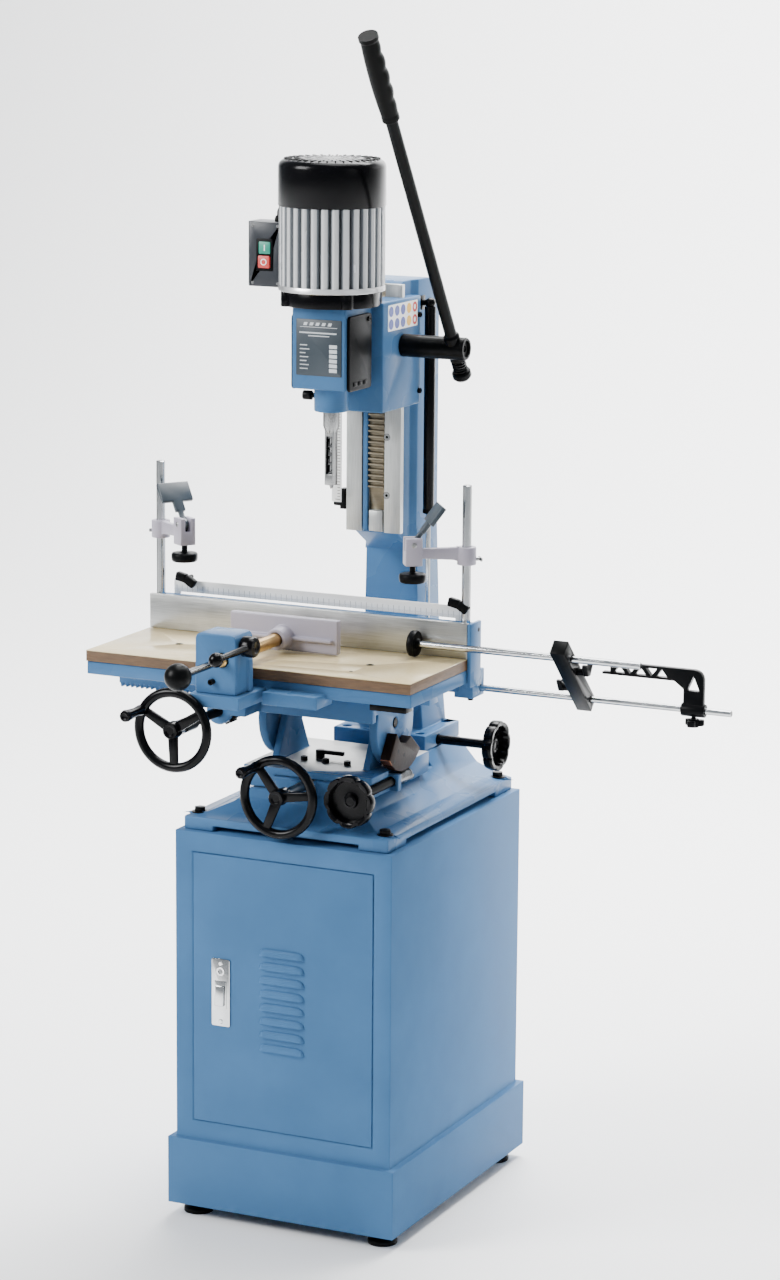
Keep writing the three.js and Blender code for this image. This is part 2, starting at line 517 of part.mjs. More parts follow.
// ---- cross slide, tilting carrier and table ----
function saddle() {
  const under = BASE.deck + 2.5;
  const gap = RUN;
  const edge = RAIL.half - RAIL.undercut + gap + (RAIL.undercut * 2.5) / RAIL.height;
  const outline = mirrored([[0, railTop + 1], [RAIL.half + gap, railTop + 1], [edge, under], [SADDLE.half,
    under],
    [SADDLE.half, SADDLE.top], [0, SADDLE.top]]);
  let body = prism("y", outline, SADDLE.front, SADDLE.back);
  const nut = block(-12, 12, -80, -40, SCREW.z - 11, railTop + 3);
  body = cut(join(body, nut), rod("y", 0, SCREW.z, -90, -30, SCREW.r + RUN));
  const wormX = MOON.inner + MOON.thick + GAP + SECTOR.thick / 2;
  const boss = block(wormX - 14, wormX + 14, WORM.from - 16, WORM.from - 2, under, WORM.z + 12);
  body = cut(
    join(body, boss),
    block(wormX - 13, wormX + 20, WORM.from - 2, WORM.to + 16, 700, 800),
    block(wormX - 11, wormX + 20, PIVOT.y - 42, WORM.to + 16, WORM.z + 12, 800),
    rod("y", wormX, WORM.z, SADDLE.front - 1, WORM.from, WORM.shaft + RUN),
  );
  const ear = [[PIVOT.y - EAR.foot, SADDLE.top - 1], [PIVOT.y + EAR.foot, SADDLE.top - 1],
    ...arc(PIVOT.y, PIVOT.z, EAR.top, -8, 188, 10)];
  for (const s of [-1, 1]) {
    const inner = Math.min(s * EAR.inner, s * (EAR.inner + EAR.thick));
    const outer = Math.min(s * (EAR.inner + 2), s * (EAR.inner + EAR.thick + 10));
    body = join(
      body,
      prism("x", ear, inner, inner + EAR.thick),
      rod("x", PIVOT.y, PIVOT.z, outer, outer + EAR.thick + 8, PIVOT.pin),
    );
  }
  part("saddle", body, BLUE);

  const screw = rod("y", 0, SCREW.z, SCREW.front, SCREW.back, SCREW.r);
  part("cross_leadscrew", screw, STEEL);

  const profile = [[0, WORM.front + 10], [WORM.shaft, WORM.front + 10], [WORM.shaft, WORM.from]];
  const threads = 7;
  const pitch = (WORM.to - WORM.from) / threads;
  for (let i = 0; i < threads; i++) {
    const at = WORM.from + i * pitch;
    profile.push([WORM.r - 3, at], [WORM.r, at + pitch * 0.35], [WORM.r, at + pitch * 0.65]);
  }
  profile.push([WORM.r - 3, WORM.to], [6, WORM.to], [6, WORM.to + 12], [0, WORM.to + 12]);
  part("worm_shaft", turned("y", wormX, WORM.z, profile, 18), STEEL);
  part("worm_knob", lobedKnob("y", wormX, WORM.z, WORM.front + 10 - GAP, -1), BLACK);

  const rear = rod("x", REAR_KNOB.y, REAR_KNOB.z, 20, REAR_KNOB.x, REAR_KNOB.shaft, REAR_KNOB.shaft, 16);
  part("rear_lock_knob", join(rear, lobedKnob("x", REAR_KNOB.y, REAR_KNOB.z, REAR_KNOB.x - 2, 1)), BLACK);

  const lockX = -22;
  const lockY = -76;
  const lock = join(
    rod("z", lockX, lockY, SADDLE.top + GAP, SADDLE.top + 15, 8, 8, 14),
    block(lockX, lockX + 44, lockY - 4, lockY + 4, SADDLE.top + 8, SADDLE.top + 15),
  );
  part("saddle_lock_lever", lock, BLACK);
}

// A dished knob with finger lobes; `at` is its shaft end and `way` the side it faces along the axis.
function lobedKnob(axis, a, b, at, way) {
  const d = (depth) => at + way * depth;
  const profile = [[0, d(0)], [KNOB.hub, d(0)], [KNOB.hub, d(8)], [KNOB.r - 5, d(14)], [KNOB.r - 3,
    d(KNOB.depth)],
    [KNOB.r - 4 - KNOB.rim, d(KNOB.depth)], [KNOB.hub + 6, d(18)], [KNOB.hub - 2, d(18)], [KNOB.hub - 2,
      d(22)],
    [0, d(22)]];
  const body = turned(axis, a, b, way > 0 ? profile : profile.reverse(), 28);
  const from = Math.min(d(12), d(KNOB.depth));
  const lobes = Array.from({ length: 8 }, (_, i) => arc(a, b, KNOB.r - 6, i * 45, i * 45, 1)[0]);
  return join(body, ...lobes.map(([u, v]) => rod(axis, u, v, from, from + KNOB.depth - 12, 6, 6, 8)));
}

// A three-spoke handwheel facing -Y with a crank grip, and its shaft behind it.
function handwheel(x, z, front, shaftBack, gripDeg) {
  const mid = front + WHEEL.width / 2 + 4;
  const rim = new THREE.TorusGeometry(WHEEL.r - WHEEL.rim, WHEEL.rim, 8, 32).rotateX(Math.PI / 2);
  const pieces = [rod("y", x, z, front, shaftBack, WHEEL.hub, WHEEL.hub, 18)];
  for (let i = 0; i < 3; i++) {
    const arm = new THREE.BoxGeometry(WHEEL.r - WHEEL.rim, 7, 13).translate((WHEEL.r - WHEEL.rim) / 2, 0,
      0);
    arm.rotateY(-THREE.MathUtils.degToRad(gripDeg + i * 120));
    pieces.push(solid(arm.translate(x, mid, z)));
  }
  const [gx, gz] = arc(x, z, WHEEL.r - WHEEL.rim, gripDeg, gripDeg, 1)[0];
  pieces.push(rod("y", gx, gz, mid - 62, mid, 9, 7, 14));
  return join(solid(rim.translate(x, mid, z)), ...pieces);
}

const traverseR = (MODULE_MM * TRAVERSE.teeth) / 2;
const rackZ = 885;
const traverseZ = rackZ - traverseR;

function tiltCarrier() {
  const { half, undercut, height } = TABLE_RAIL;
  const outer = MOON.inner + MOON.thick;
  const rail = [[PIVOT.y - half + undercut, CARRIER.top - 1], [PIVOT.y + half - undercut, CARRIER.top - 1],
    [PIVOT.y + half, CARRIER.top + height], [PIVOT.y - half, CARRIER.top + height]];
  let body = join(
    block(-outer, outer, CARRIER.front, CARRIER.back, CARRIER.under, CARRIER.top),
    block(-outer, outer, CARRIER.front, CARRIER.front + 14, CARRIER.under - 12, CARRIER.top),
    prism("x", rail, -outer, outer),
  );
  for (const s of [-1, 1]) {
    const inner = Math.min(s * MOON.inner, s * outer);
    const disc = rod("x", PIVOT.y, PIVOT.z, inner, inner + MOON.thick, MOON.r, MOON.r, 40)
      .intersect(block(-200, 200, -200, 200, 700, CARRIER.under + 2));
    body = join(body, disc);
  }
  const x = TRAVERSE.x;
  body = join(
    body,
    block(x, -outer + 2, -75, -45, traverseZ - 6, CARRIER.under + 14),
    rod("y", x, traverseZ, -75, -45, 16, 16, 20),
    rod("y", x, traverseZ, BRACKET.front, BRACKET.front + BRACKET.thick, BRACKET.r, BRACKET.r, 24)
      .intersect(block(x - 50, x + 50, BRACKET.front, CARRIER.front, traverseZ - 50, BRACKET.top)),
    block(x, BRACKET.right, BRACKET.front, BRACKET.front + BRACKET.thick, BRACKET.bottom, BRACKET.top),
    block(x + traverseR + 6, BRACKET.right, BRACKET.front, CARRIER.front + 2, BRACKET.bottom, BRACKET.top),
  );
  body = cut(
    body,
    rod("x", PIVOT.y, PIVOT.z, -outer - 1, outer + 1, PIVOT.pin + RUN),
    rod("y", x, traverseZ, BRACKET.front - 1, -44, 8 + RUN),
  );
  part("tilt_carrier", body, BLUE);

  const inner = outer + GAP;
  const plate = [...arc(PIVOT.y, PIVOT.z, SECTOR.r, SECTOR.from, SECTOR.to, 10),
    ...arc(PIVOT.y, PIVOT.z, SECTOR.inner, SECTOR.to - 6, SECTOR.from - 22, 3)];
  part("tilt_sector", prism("x", plate, inner, inner + SECTOR.thick), BRONZE);

  const gear = prism("y", gearOutline(x, traverseZ, TRAVERSE.teeth, 90), TRAVERSE.rackFront,
    TRAVERSE.rackBack);
  const shaft = rod("y", x, traverseZ, TRAVERSE_WHEEL_FRONT + 20, -46, 8, 8, 16);
  part("traverse_pinion_shaft", join(gear, shaft), STEEL);
  const wheel = cut(
    handwheel(x, traverseZ, TRAVERSE_WHEEL_FRONT, TRAVERSE_WHEEL_FRONT + 34, 152),
    rod("y", x, traverseZ, TRAVERSE_WHEEL_FRONT + 20 - GAP, TRAVERSE_WHEEL_FRONT + 60, 8 + GAP),
  );
  part("traverse_handwheel", wheel, BLACK);
  const cross = cut(
    handwheel(0, SCREW.z, CROSS_WHEEL_FRONT, CROSS_WHEEL_FRONT + 34, 128),
    rod("y", 0, SCREW.z, SCREW.front - GAP, SCREW.front + 60, SCREW.r + GAP),
  );
  part("cross_handwheel", cross, BLACK);
}

const castingTop = TABLE.top - TABLE.wood - GAP;
const castingBottom = castingTop - TABLE.plate;

function table() {
  const { half, undercut, height } = TABLE_RAIL;
  const low = CARRIER.top + 2;
  const high = CARRIER.top + height + 1;
  const share = (undercut * 2) / height;
  const guide = [[-half - 30, castingBottom + 1], [-half - 30, low], [-half + undercut - share - 0.6, low],
    [-half - 0.9, high], [-half - 0.9, castingBottom + 1]];
  const front = guide.map(([y, z]) => [PIVOT.y + y, z]);
  const back = guide.map(([y, z]) => [PIVOT.y - y, z]);
  const firstTooth = TRAVERSE.x + Math.PI * MODULE_MM * (0.5 - 21);
  const teeth = rackProfile(firstTooth, TRAVERSE.rackTeeth).map(([x, out]) => [x, rackZ - out]);
  const rack = [[TRAVERSE.left, castingBottom + 1], [TRAVERSE.left, rackZ + 3.75], ...teeth,
    [TRAVERSE.right, rackZ + 3.75], [TRAVERSE.right, castingBottom + 1]];
  const tab = (x0, x1, y0) => block(x0, x1, y0, TABLE.front + 30, CLAMP.tab - 21, CLAMP.tab);
  const body = join(
    block(TABLE.left, TABLE.right, TABLE.front + 3, FENCE.back + 2, castingBottom, castingTop),
    prism("x", front, TABLE.left + 26, TABLE.right - 22),
    prism("x", back, TABLE.left + 26, TABLE.right - 22),
    prism("y", rack, TRAVERSE.rackFront, TRAVERSE.rackBack),
    tab(CLAMP.left - 8, CLAMP.right + 10, CLAMP.front - 10),
    tab(-22, 76, TABLE.front - 30),
    block(TABLE.right - ROD_BOSS.length, TABLE.right, FENCE.back - 10, ROD_LOW.y + ROD_BOSS.wide / 2,
      ROD_BOSS.bottom,
      castingTop - 8),
  );
  part("table_casting", cut(body, rod("x", ROD_LOW.y, ROD_LOW.z, TABLE.right - ROD_BOSS.length - 1,
    TABLE.right + 1,
    ROD_LOW.r + RUN, ROD_LOW.r + RUN, 16)), BLUE);

  const wood = cut(
    block(TABLE.left, TABLE.right, TABLE.front, FENCE.face + FENCE.plate - GAP, castingTop + GAP,
      TABLE.top),
    ...[[-252, -145, 5], [106, -153, 5], [101, -214, 3]].map(([x, y, r]) => rod("z", x, y, 930, 960, r, r,
      14)),
  );
  part("table_top", wood, LAMINATE);

  const faceBack = FENCE.face + FENCE.plate;
  const fence = cut(
    join(
      block(TABLE.left, TABLE.right + 2, faceBack + GAP, FENCE.back, castingTop + GAP, FENCE.top - 3),
      block(TABLE.right + GAP, TABLE.right + FENCE.endWidth, FENCE.face, FENCE.endBack, FENCE.endBottom,
        FENCE.top),
    ),
    ...POST.x.map((x) => rod("z", x, POST.y, POST.bottom - GAP, FENCE.top + 1, POST.r + RUN, POST.r + RUN,
      18)),
  );
  part("fence_casting", fence, BLUE);
  const face = block(TABLE.left, TABLE.right, FENCE.face, faceBack, TABLE.top + GAP, FENCE.top);
  part("fence_face", face, STEEL);
  const z = FENCE.top - 3 + GAP;
  const ruler = join(
    block(TABLE.left + 30, TABLE.right - 24, -8, -5.5, z + 4, z + 25),
    block(TABLE.left + 30, TABLE.left + 42, -8, -4, z, z + 25),
    block(TABLE.right - 36, TABLE.right - 24, -8, -4, z, z + 25),
  );
  part("fence_ruler", ruler, WHITE);
}

// ---- front clamp ----
function frontClamp() {
  const { x, z } = CLAMP;
  const r = 10;
  const outline = [[CLAMP.left, CLAMP.tab + GAP], [CLAMP.right, CLAMP.tab + GAP],
    ...arc(CLAMP.right - r, CLAMP.top - r, r, 0, 90, 4), ...arc(CLAMP.left + r, CLAMP.top - r, r, 90, 180,
      4)];
  const body = cut(
    join(
      prism("y", outline, CLAMP.front, CLAMP.back),
      block(CLAMP.right - 1, CLAMP.right + 4, CLAMP.back - 22, CLAMP.back - 6, CLAMP.tab + GAP,
        CLAMP.top - 44),
    ),
    rod("y", x, z, CLAMP.front - 1, CLAMP.back + 1, CLAMP_ROD.brass + RUN, CLAMP_ROD.brass + RUN, 20),
    rod("x", LOCK.y, LOCK.z, x, CLAMP.right + 1, 5 + RUN, 5 + RUN, 14),
  );
  part("clamp_block", body, BLUE);
  const push = join(
    rod("y", x, z, CLAMP_ROD.brassFront, CLAMP_PLATE.front - 14, CLAMP_ROD.brass, CLAMP_ROD.brass, 20),
    rod("y", x, z, CLAMP_ROD.ball, CLAMP_ROD.brassFront + 2, CLAMP_ROD.thin, CLAMP_ROD.thin, 14),
    ball(x, CLAMP_ROD.ball, z, CLAMP_ROD.ballR),
    rod("y", x, z, CLAMP_ROD.ball + 14, CLAMP_ROD.ball + 28, 10, 8, 14),
  );
  part("clamp_push_rod", push, BRASS);
  const low = TABLE.top + 2.5;
  const plate = cut(
    join(
      block(CLAMP_PLATE.left, CLAMP_PLATE.right, CLAMP_PLATE.front, CLAMP_PLATE.back, low, CLAMP_PLATE.top),
      rod("y", x, z, CLAMP_PLATE.front - 28, CLAMP_PLATE.front + 1, 18, 20, 20),
      block(CLAMP_PLATE.left + 8, CLAMP_PLATE.right - 8, CLAMP_PLATE.front - 8, CLAMP_PLATE.front + 1,
        z - 3, z + 3),
    ),
    rod("y", x, z, CLAMP_PLATE.front - 30, CLAMP_PLATE.front - 14 + GAP, CLAMP_ROD.brass + GAP),
  );
  part("clamp_plate", plate, LAVENDER);
  const hubX = CLAMP.right + 2;
  const lever = rod("y", hubX + 12, LOCK.z, LOCK.y - LOCK.reach, LOCK.y, 5, 6, 12);
  const lock = join(
    rod("x", LOCK.y, LOCK.z, hubX - 1.6, hubX + 22, LOCK.r, LOCK.r - 3, 20),
    rod("x", LOCK.y, LOCK.z, x + CLAMP_ROD.brass + 4, hubX + 2, 5, 5, 12),
    lever,
    ball(hubX + 12, LOCK.y - LOCK.reach, LOCK.z, LOCK.ball),
  );
  part("clamp_lock_lever", lock, BLACK);
}

// ---- hold-downs on the fence ----
function holdDown(side, x, turnDeg) {
  const foot = [x, POST.y, 0];
  const turn = [0, 0, turnDeg];
  part("holddown_post_" + side, rod("z", 0, 0, POST.bottom, POST.top, POST.r, POST.r, 18), CHROME, foot,
    turn);
  const half = ARM.height / 2;
  const reach = ARM.length;
  const bar = [[0, ARM.z + half], [reach, ARM.z + half - 2], [reach, ARM.z - 2], [22, ARM.z - 6], [0,
    ARM.z - half]];
  const slot = PADDLE.thick / 2 + 0.8;
  const arm = cut(
    join(
      rod("z", 0, 0, ARM.z - half, ARM.z + half, ARM.collar, ARM.collar, 20),
      prism("y", bar, -6, 6),
      block(reach - ARM.head, reach + ARM.head, -ARM.head, ARM.head, ARM.z - 14, ARM.z + ARM.cheek),
    ),
    rod("z", 0, 0, ARM.z - 30, ARM.z + 30, POST.r + RUN, POST.r + RUN, 18),
    block(reach - ARM.head - 1, reach + ARM.head + 1, -slot, slot, ARM.z + half - 6, ARM.z + ARM.cheek + 1),
    rod("z", reach, 0, ARM.z - 30, ARM.z + half, PAD.screw + RUN, PAD.screw + RUN, 14),
  );
  part("holddown_arm_" + side, arm, LAVENDER, foot, turn);
  const bend = THREE.MathUtils.degToRad(PADDLE.rise);
  const lift = ARM.z + ARM.pivot;
  const t = PADDLE.thick / 2;
  const handle = new THREE.BoxGeometry(PADDLE.length - 4, PADDLE.thick, PADDLE.thick);
  handle.translate(PADDLE.length / 2 - 2, 0, 0);
  const palm = new THREE.BoxGeometry(PADDLE.palm, PADDLE.width, PADDLE.thick);
  palm.translate(PADDLE.length - PADDLE.palm / 2, 0, 0);
  const stemLength = PADDLE.length - ARM.head - 12;
  const stem = new THREE.BoxGeometry(stemLength, PADDLE.stem, PADDLE.thick);
  stem.translate(PADDLE.length - 2 - stemLength / 2, 0, 0);
  const raised = new THREE.Matrix4().makeRotationY(Math.PI + bend).setPosition(reach, 0, lift);
  const cam = rod("y", reach, lift, -t, t, 9, 9, 16);
  const paddle = join(cam, ...[handle, stem, palm].map((piece) => solid(piece.applyMatrix4(raised))));
  part("holddown_paddle_" + side, paddle, GREY, foot, turn);
  const pad = join(
    rod("z", reach, 0, PAD.z - PAD.thick / 2, PAD.z + PAD.thick / 2, PAD.r - 1, PAD.r, 24),
    rod("z", reach, 0, PAD.z, lift - 10, PAD.screw, PAD.screw, 12),
  );
  part("holddown_pad_" + side, pad, BLACK, foot, turn);
}

// ---- length stop on the right ----
const along = new THREE.Vector2(ROD_LOW.y - ROD_UP.y, ROD_LOW.z - ROD_UP.z).normalize();

function wingKnob(y, z, from, to, way) {
  const hub = rod("x", y, z, from, to, 6, 6, 12);
  const tip = way > 0 ? to : from;
  const wing = [[y - 17, z + 13], [y - 11, z + 15], [y, z + 5], [y + 11, z + 15], [y + 17, z + 13],
    [y + 6, z - 6],
    [y - 6, z - 6]];
  return join(hub, prism("x", wing, tip - 4, tip + 4));
}

function lengthStop() {
  const upper = join(
    rod("x", ROD_UP.y, ROD_UP.z, ROD_UP.from - 2, ROD_UP.to, ROD_UP.r, ROD_UP.r, 16),
    rod("x", ROD_UP.y, ROD_UP.z, ROD_UP.from - ROD_UP.discWidth, ROD_UP.from, ROD_UP.disc, ROD_UP.disc, 24),
  );
  part("stop_upper_rod", upper, CHROME);
  part("stop_lower_rod", rod("x", ROD_LOW.y, ROD_LOW.z, ROD_LOW.from, ROD_LOW.to, ROD_LOW.r, ROD_LOW.r,
    16), CHROME);
  const h = LINK.size / 2;
  const top = [ROD_UP.y - along.x * LINK.over, ROD_UP.z - along.y * LINK.over];
  const end = [ROD_LOW.y + along.x * LINK.under, ROD_LOW.z + along.y * LINK.under];
  const n = [-along.y * h, along.x * h];
  const bar = [[top[0] + n[0], top[1] + n[1]], [end[0] + n[0], end[1] + n[1]], [end[0] - n[0],
    end[1] - n[1]],
    [top[0] - n[0], top[1] - n[1]]];
  const upKnob = [ROD_UP.y + along.x * 36, ROD_UP.z + along.y * 36];
  const lowKnob = [ROD_LOW.y - along.x * 30, ROD_LOW.z - along.y * 30];
  const link = cut(
    prism("x", bar, LINK.x - h, LINK.x + h),
    rod("x", ROD_UP.y, ROD_UP.z, LINK.x - 20, LINK.x + 20, ROD_UP.r + RUN, ROD_UP.r + RUN, 16),
    rod("x", ROD_LOW.y, ROD_LOW.z, LINK.x - 20, LINK.x + 20, ROD_LOW.r + RUN, ROD_LOW.r + RUN, 16),
    rod("x", ...upKnob, LINK.x, LINK.x + 20, 6 + RUN, 6 + RUN, 12),
    rod("x", ...lowKnob, LINK.x - 20, LINK.x, 6 + RUN, 6 + RUN, 12),
  );
  part("stop_link_bar", link, BLACK);
  part("stop_upper_wing_knob", wingKnob(...upKnob, LINK.x + 1, LINK.x + 30, 1), BLACK);
  part("stop_lower_wing_knob", wingKnob(...lowKnob, LINK.x - 30, LINK.x - 1, -1), BLACK);
  trussArm();
}

function trussArm() {
  const { left, right, top, depth, leg } = TRUSS;
  const low = ROD_LOW.z;
  const outline = [[left, top - depth], [left, top], ...arc(right - 16, top - 16, 16, 90, 0, 4), [right,
    low],
    [right - leg, low], [right - leg, top - depth - 12], [right - leg - 16, top - depth]];
  const triangle = (x, flip) => {
    const up = flip ? [[x, top - 4], [x + 20, top - 4], [x + 10, top - depth + 4]]
      : [[x, top - depth + 4], [x + 20, top - depth + 4], [x + 10, top - 4]];
    return prism("y", up, ROD_LOW.y - 20, ROD_LOW.y + 20);
  };
  const half = TRUSS.thick / 2;
  const window = [[right - leg + 6, top - depth - 14], [right - 6, top - depth - 14], [right - leg / 2,
    top - 10]];
  const body = cut(
    join(
      prism("y", outline, ROD_LOW.y - half, ROD_LOW.y + half),
      rod("x", ROD_LOW.y, low, right - leg - 3, right + 3, 11, 11, 20),
    ),
    ...[0, 1, 2, 3, 4].map((i) => triangle(left + 20 + i * 18.5, i % 2 === 1)),
    prism("y", window, ROD_LOW.y - 20, ROD_LOW.y + 20),
    block(left - 1, left + 14, ROD_LOW.y - 20, ROD_LOW.y + 20, top - depth + 4, top - 4),
    rod("x", ROD_LOW.y, low, right - leg - 10, right + 10, ROD_LOW.r + RUN, ROD_LOW.r + RUN, 16),
    rod("z", right - leg / 2, ROD_LOW.y, low - 20, low, 4 + RUN, 4 + RUN, 12),
  );
  part("stop_truss_arm", body, BLACK);
  const x = right - leg / 2;
  const lobes = Array.from({ length: 3 }, (_, i) => arc(x, ROD_LOW.y, 11, 30 + i * 120, 30 + i * 120,
    1)[0]);
  const star = join(
    rod("z", x, ROD_LOW.y, low - 28, low - ROD_LOW.r - 1, 4, 4, 12),
    rod("z", x, ROD_LOW.y, low - 28, low - 14, 9, 9, 14),
    ...lobes.map(([u, v]) => rod("z", u, v, low - 26, low - 16, 7, 7, 10)),
  );
  part("stop_star_knob", star, BLACK);
}

cabinet();
cabinetDoor();
baseCasting();
column();
ways();
headCasting();
chiselAndAuger();
motor();
switchBox();
gasSpring();
feedDrive();
saddle();
tiltCarrier();
table();
frontClamp();
holdDown("left", POST.x[0], -ARM.turn);
holdDown("right", POST.x[1], 180 + ARM.turn);
lengthStop();

// The frame's origin is on the floor under the middle of the whole machine.
const bounds = new THREE.Box3().setFromObject(machine, true);
const middle = bounds.getCenter(new THREE.Vector3());
machine.position.set(-middle.x, -middle.y, -bounds.min.z);

export default machine;
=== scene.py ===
"""Looks for the hollow-chisel mortiser: pieces, materials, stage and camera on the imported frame.

Lengths are millimetres from the floor under the cabinet's centre; TO_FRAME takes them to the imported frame.
"""

import json
import math

import bmesh
import bpy
from mathutils import Matrix, Vector

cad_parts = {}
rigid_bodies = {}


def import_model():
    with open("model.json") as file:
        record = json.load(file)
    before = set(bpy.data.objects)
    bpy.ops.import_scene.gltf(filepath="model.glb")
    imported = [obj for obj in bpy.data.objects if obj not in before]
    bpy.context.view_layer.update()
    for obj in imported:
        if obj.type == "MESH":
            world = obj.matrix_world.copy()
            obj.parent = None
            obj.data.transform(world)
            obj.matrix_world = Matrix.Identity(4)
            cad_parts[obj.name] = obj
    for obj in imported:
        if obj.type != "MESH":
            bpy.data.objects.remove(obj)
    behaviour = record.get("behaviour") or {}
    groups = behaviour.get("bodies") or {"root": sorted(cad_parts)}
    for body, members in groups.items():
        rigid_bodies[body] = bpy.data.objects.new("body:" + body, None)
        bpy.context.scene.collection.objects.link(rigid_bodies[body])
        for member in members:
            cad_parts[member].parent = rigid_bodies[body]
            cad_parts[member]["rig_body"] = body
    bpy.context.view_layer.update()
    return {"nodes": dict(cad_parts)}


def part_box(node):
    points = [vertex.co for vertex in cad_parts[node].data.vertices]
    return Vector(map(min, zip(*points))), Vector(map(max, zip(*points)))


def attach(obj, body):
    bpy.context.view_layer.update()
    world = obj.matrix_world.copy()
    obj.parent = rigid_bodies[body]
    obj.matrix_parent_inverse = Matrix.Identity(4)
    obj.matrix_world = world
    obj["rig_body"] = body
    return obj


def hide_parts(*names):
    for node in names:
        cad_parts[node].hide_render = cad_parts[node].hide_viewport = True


bl_info = {
    "name": "Mortiser looks",
    "version": (1, 0, 0),
    "blender": (4, 5, 0),
    "location": "View3D > Sidebar > Mortiser",
    "description": "Detailed pieces and materials for a hollow-chisel mortiser",
    "category": "Object",
}

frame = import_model()
ORIGIN = sum(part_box("cabinet"), Vector()) / 2 * Vector((1, 1, 0))
TO_FRAME = Matrix.Translation(ORIGIN) @ Matrix.Scale(0.001, 4)
MATERIALS = {}
AXES = {"x": Vector((1, 0, 0)), "y": Vector((0, 1, 0)), "z": Vector((0, 0, 1))}
PLANES = {"x": (1, 2, 0), "y": (0, 2, 1), "z": (0, 1, 2)}
# The slot that finish_piece looks up for an added piece of each look, unless its call names another.
SLOTS = {"Black satin paint": "black_metal", "Turned steel": "steel", "Bright chrome": "chrome",
         "Black moulded plastic": "black_plastic", "Machined ways": "steel",
         "Blue sheet paint": "sheet_paint", "Blue casting paint": "casting_paint"}


# ---- sizes read from the frame, in millimetres ----
def low(node):
    """Lowest corner of a CAD node."""
    return (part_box(node)[0] - ORIGIN) * 1000


def high(node):
    """Highest corner of a CAD node."""
    return (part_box(node)[1] - ORIGIN) * 1000


def middle(node):
    """Centre of a CAD node's box."""
    return (low(node) + high(node)) / 2


# ---- mesh helpers ----
def spot(axis, a, b, along):
    """A point from its two places across an axis and its place along it."""
    point = [0.0, 0.0, 0.0]
    for index, value in zip(PLANES[axis], (a, b, along)):
        point[index] = value
    return Vector(point)


def turned(bm, axis, a, b, profile, steps=48, start=0):
    """Spins a profile of (radius, distance along the axis from start) round an axis through (a, b)."""
    verts = [bm.verts.new(spot(axis, a + r, b, start + along)) for r, along in profile]
    edges = [bm.edges.new(pair) for pair in zip(verts, verts[1:])]
    bmesh.ops.spin(bm, geom=verts + edges, cent=spot(axis, a, b, 0), axis=AXES[axis], angle=math.tau,
                   steps=steps, use_merge=True)
    bmesh.ops.remove_doubles(bm, verts=bm.verts, dist=0.002)


def bar(bm, axis, a, b, start, end, r, edge=0.8, steps=32):
    """A round bar with eased ends."""
    turned(bm, axis, a, b, [(0, start), (r - edge, start), (r, start + edge), (r, end - edge),
                            (r - edge, end), (0, end)], steps)


def ease(bm, geom_edges, width, segments=2, over=30):
    """Bevels those edges that turn by more than an angle."""
    sharp = [e for e in geom_edges
             if e.is_valid and e.is_manifold and e.calc_face_angle(0) > math.radians(over)]
    bmesh.ops.bevel(bm, geom=sharp, offset=width, segments=segments, profile=0.5, affect="EDGES")


def edges_of(verts):
    """Every edge that meets these vertices."""
    return {e for v in verts for e in v.link_edges}


def cube(bm, place, size):
    """The vertices of a box of this size, put in place by a matrix."""
    return bmesh.ops.create_cube(bm, size=1, matrix=place @ Matrix.Diagonal((*size, 1)))["verts"]


def block(bm, x0, x1, y0, y1, z0, z1, edge=1.0, segments=2):
    """A box with eased edges."""
    place = Matrix.Translation(((x0 + x1) / 2, (y0 + y1) / 2, (z0 + z1) / 2))
    ease(bm, edges_of(cube(bm, place, (x1 - x0, y1 - y0, z1 - z0))), edge, segments)


def skin(bm, rings, wrap=True):
    """Faces between neighbouring rows of vertices, wrapped round or left open."""
    for one, two in zip(rings, rings[1:]):
        for k in range(len(one) if wrap else len(one) - 1):
            after = (k + 1) % len(one)
            bm.faces.new((one[k], one[after], two[after], two[k]))


def plate(bm, axis, outline, start, end, edge=0.8, segments=2):
    """An outline across an axis, carried along it, with eased rims."""
    verts = [bm.verts.new(spot(axis, a, b, start)) for a, b in outline]
    face = bm.faces.new(verts)
    made = bmesh.ops.extrude_face_region(bm, geom=[face])
    top = [g for g in made["geom"] if isinstance(g, bmesh.types.BMVert)]
    bmesh.ops.translate(bm, verts=top, vec=AXES[axis] * (end - start))
    edges = edges_of(verts + top)
    bmesh.ops.recalc_face_normals(bm, faces=list({f for e in edges for f in e.link_faces}))
    if edge:
        ease(bm, edges, edge, segments)


def ball(bm, x, y, z, r):
    place = Matrix.Translation((x, y, z))
    bmesh.ops.create_uvsphere(bm, u_segments=32, v_segments=20, radius=r, matrix=place)


def hose(bm, points, r, sides=12):
    """A round tube through points, with closed ends."""
    rings = []
    side = None
    for i, point in enumerate(points):
        ahead = (points[min(i + 1, len(points) - 1)] - points[max(i - 1, 0)]).normalized()
        guess = side if side is not None else ahead.orthogonal()
        side = (guess - ahead * guess.dot(ahead)).normalized()
        up = ahead.cross(side)
        rings.append([bm.verts.new(point + (side * math.cos(t) + up * math.sin(t)) * r)
                      for t in (math.tau * k / sides for k in range(sides))])
    skin(bm, rings)
    bm.faces.new(rings[0][::-1])
    bm.faces.new(rings[-1])


def coil(bm, axis, a, b, start, pitch, turns, radius, wire, sides, steps=24):
    """A wire wound round an axis, from start along it."""
    angles = (math.tau * i / steps for i in range(turns * steps + 1))
    hose(bm, [spot(axis, a + radius * math.cos(t), b + radius * math.sin(t), start + pitch * t / math.tau)
              for t in angles], wire, sides)


def arc(a, b, r, start, end, steps):
    """Points on an arc, in degrees."""
    angles = [math.radians(start + (end - start) * i / steps) for i in range(steps + 1)]
    return [(a + r * math.cos(t), b + r * math.sin(t)) for t in angles]


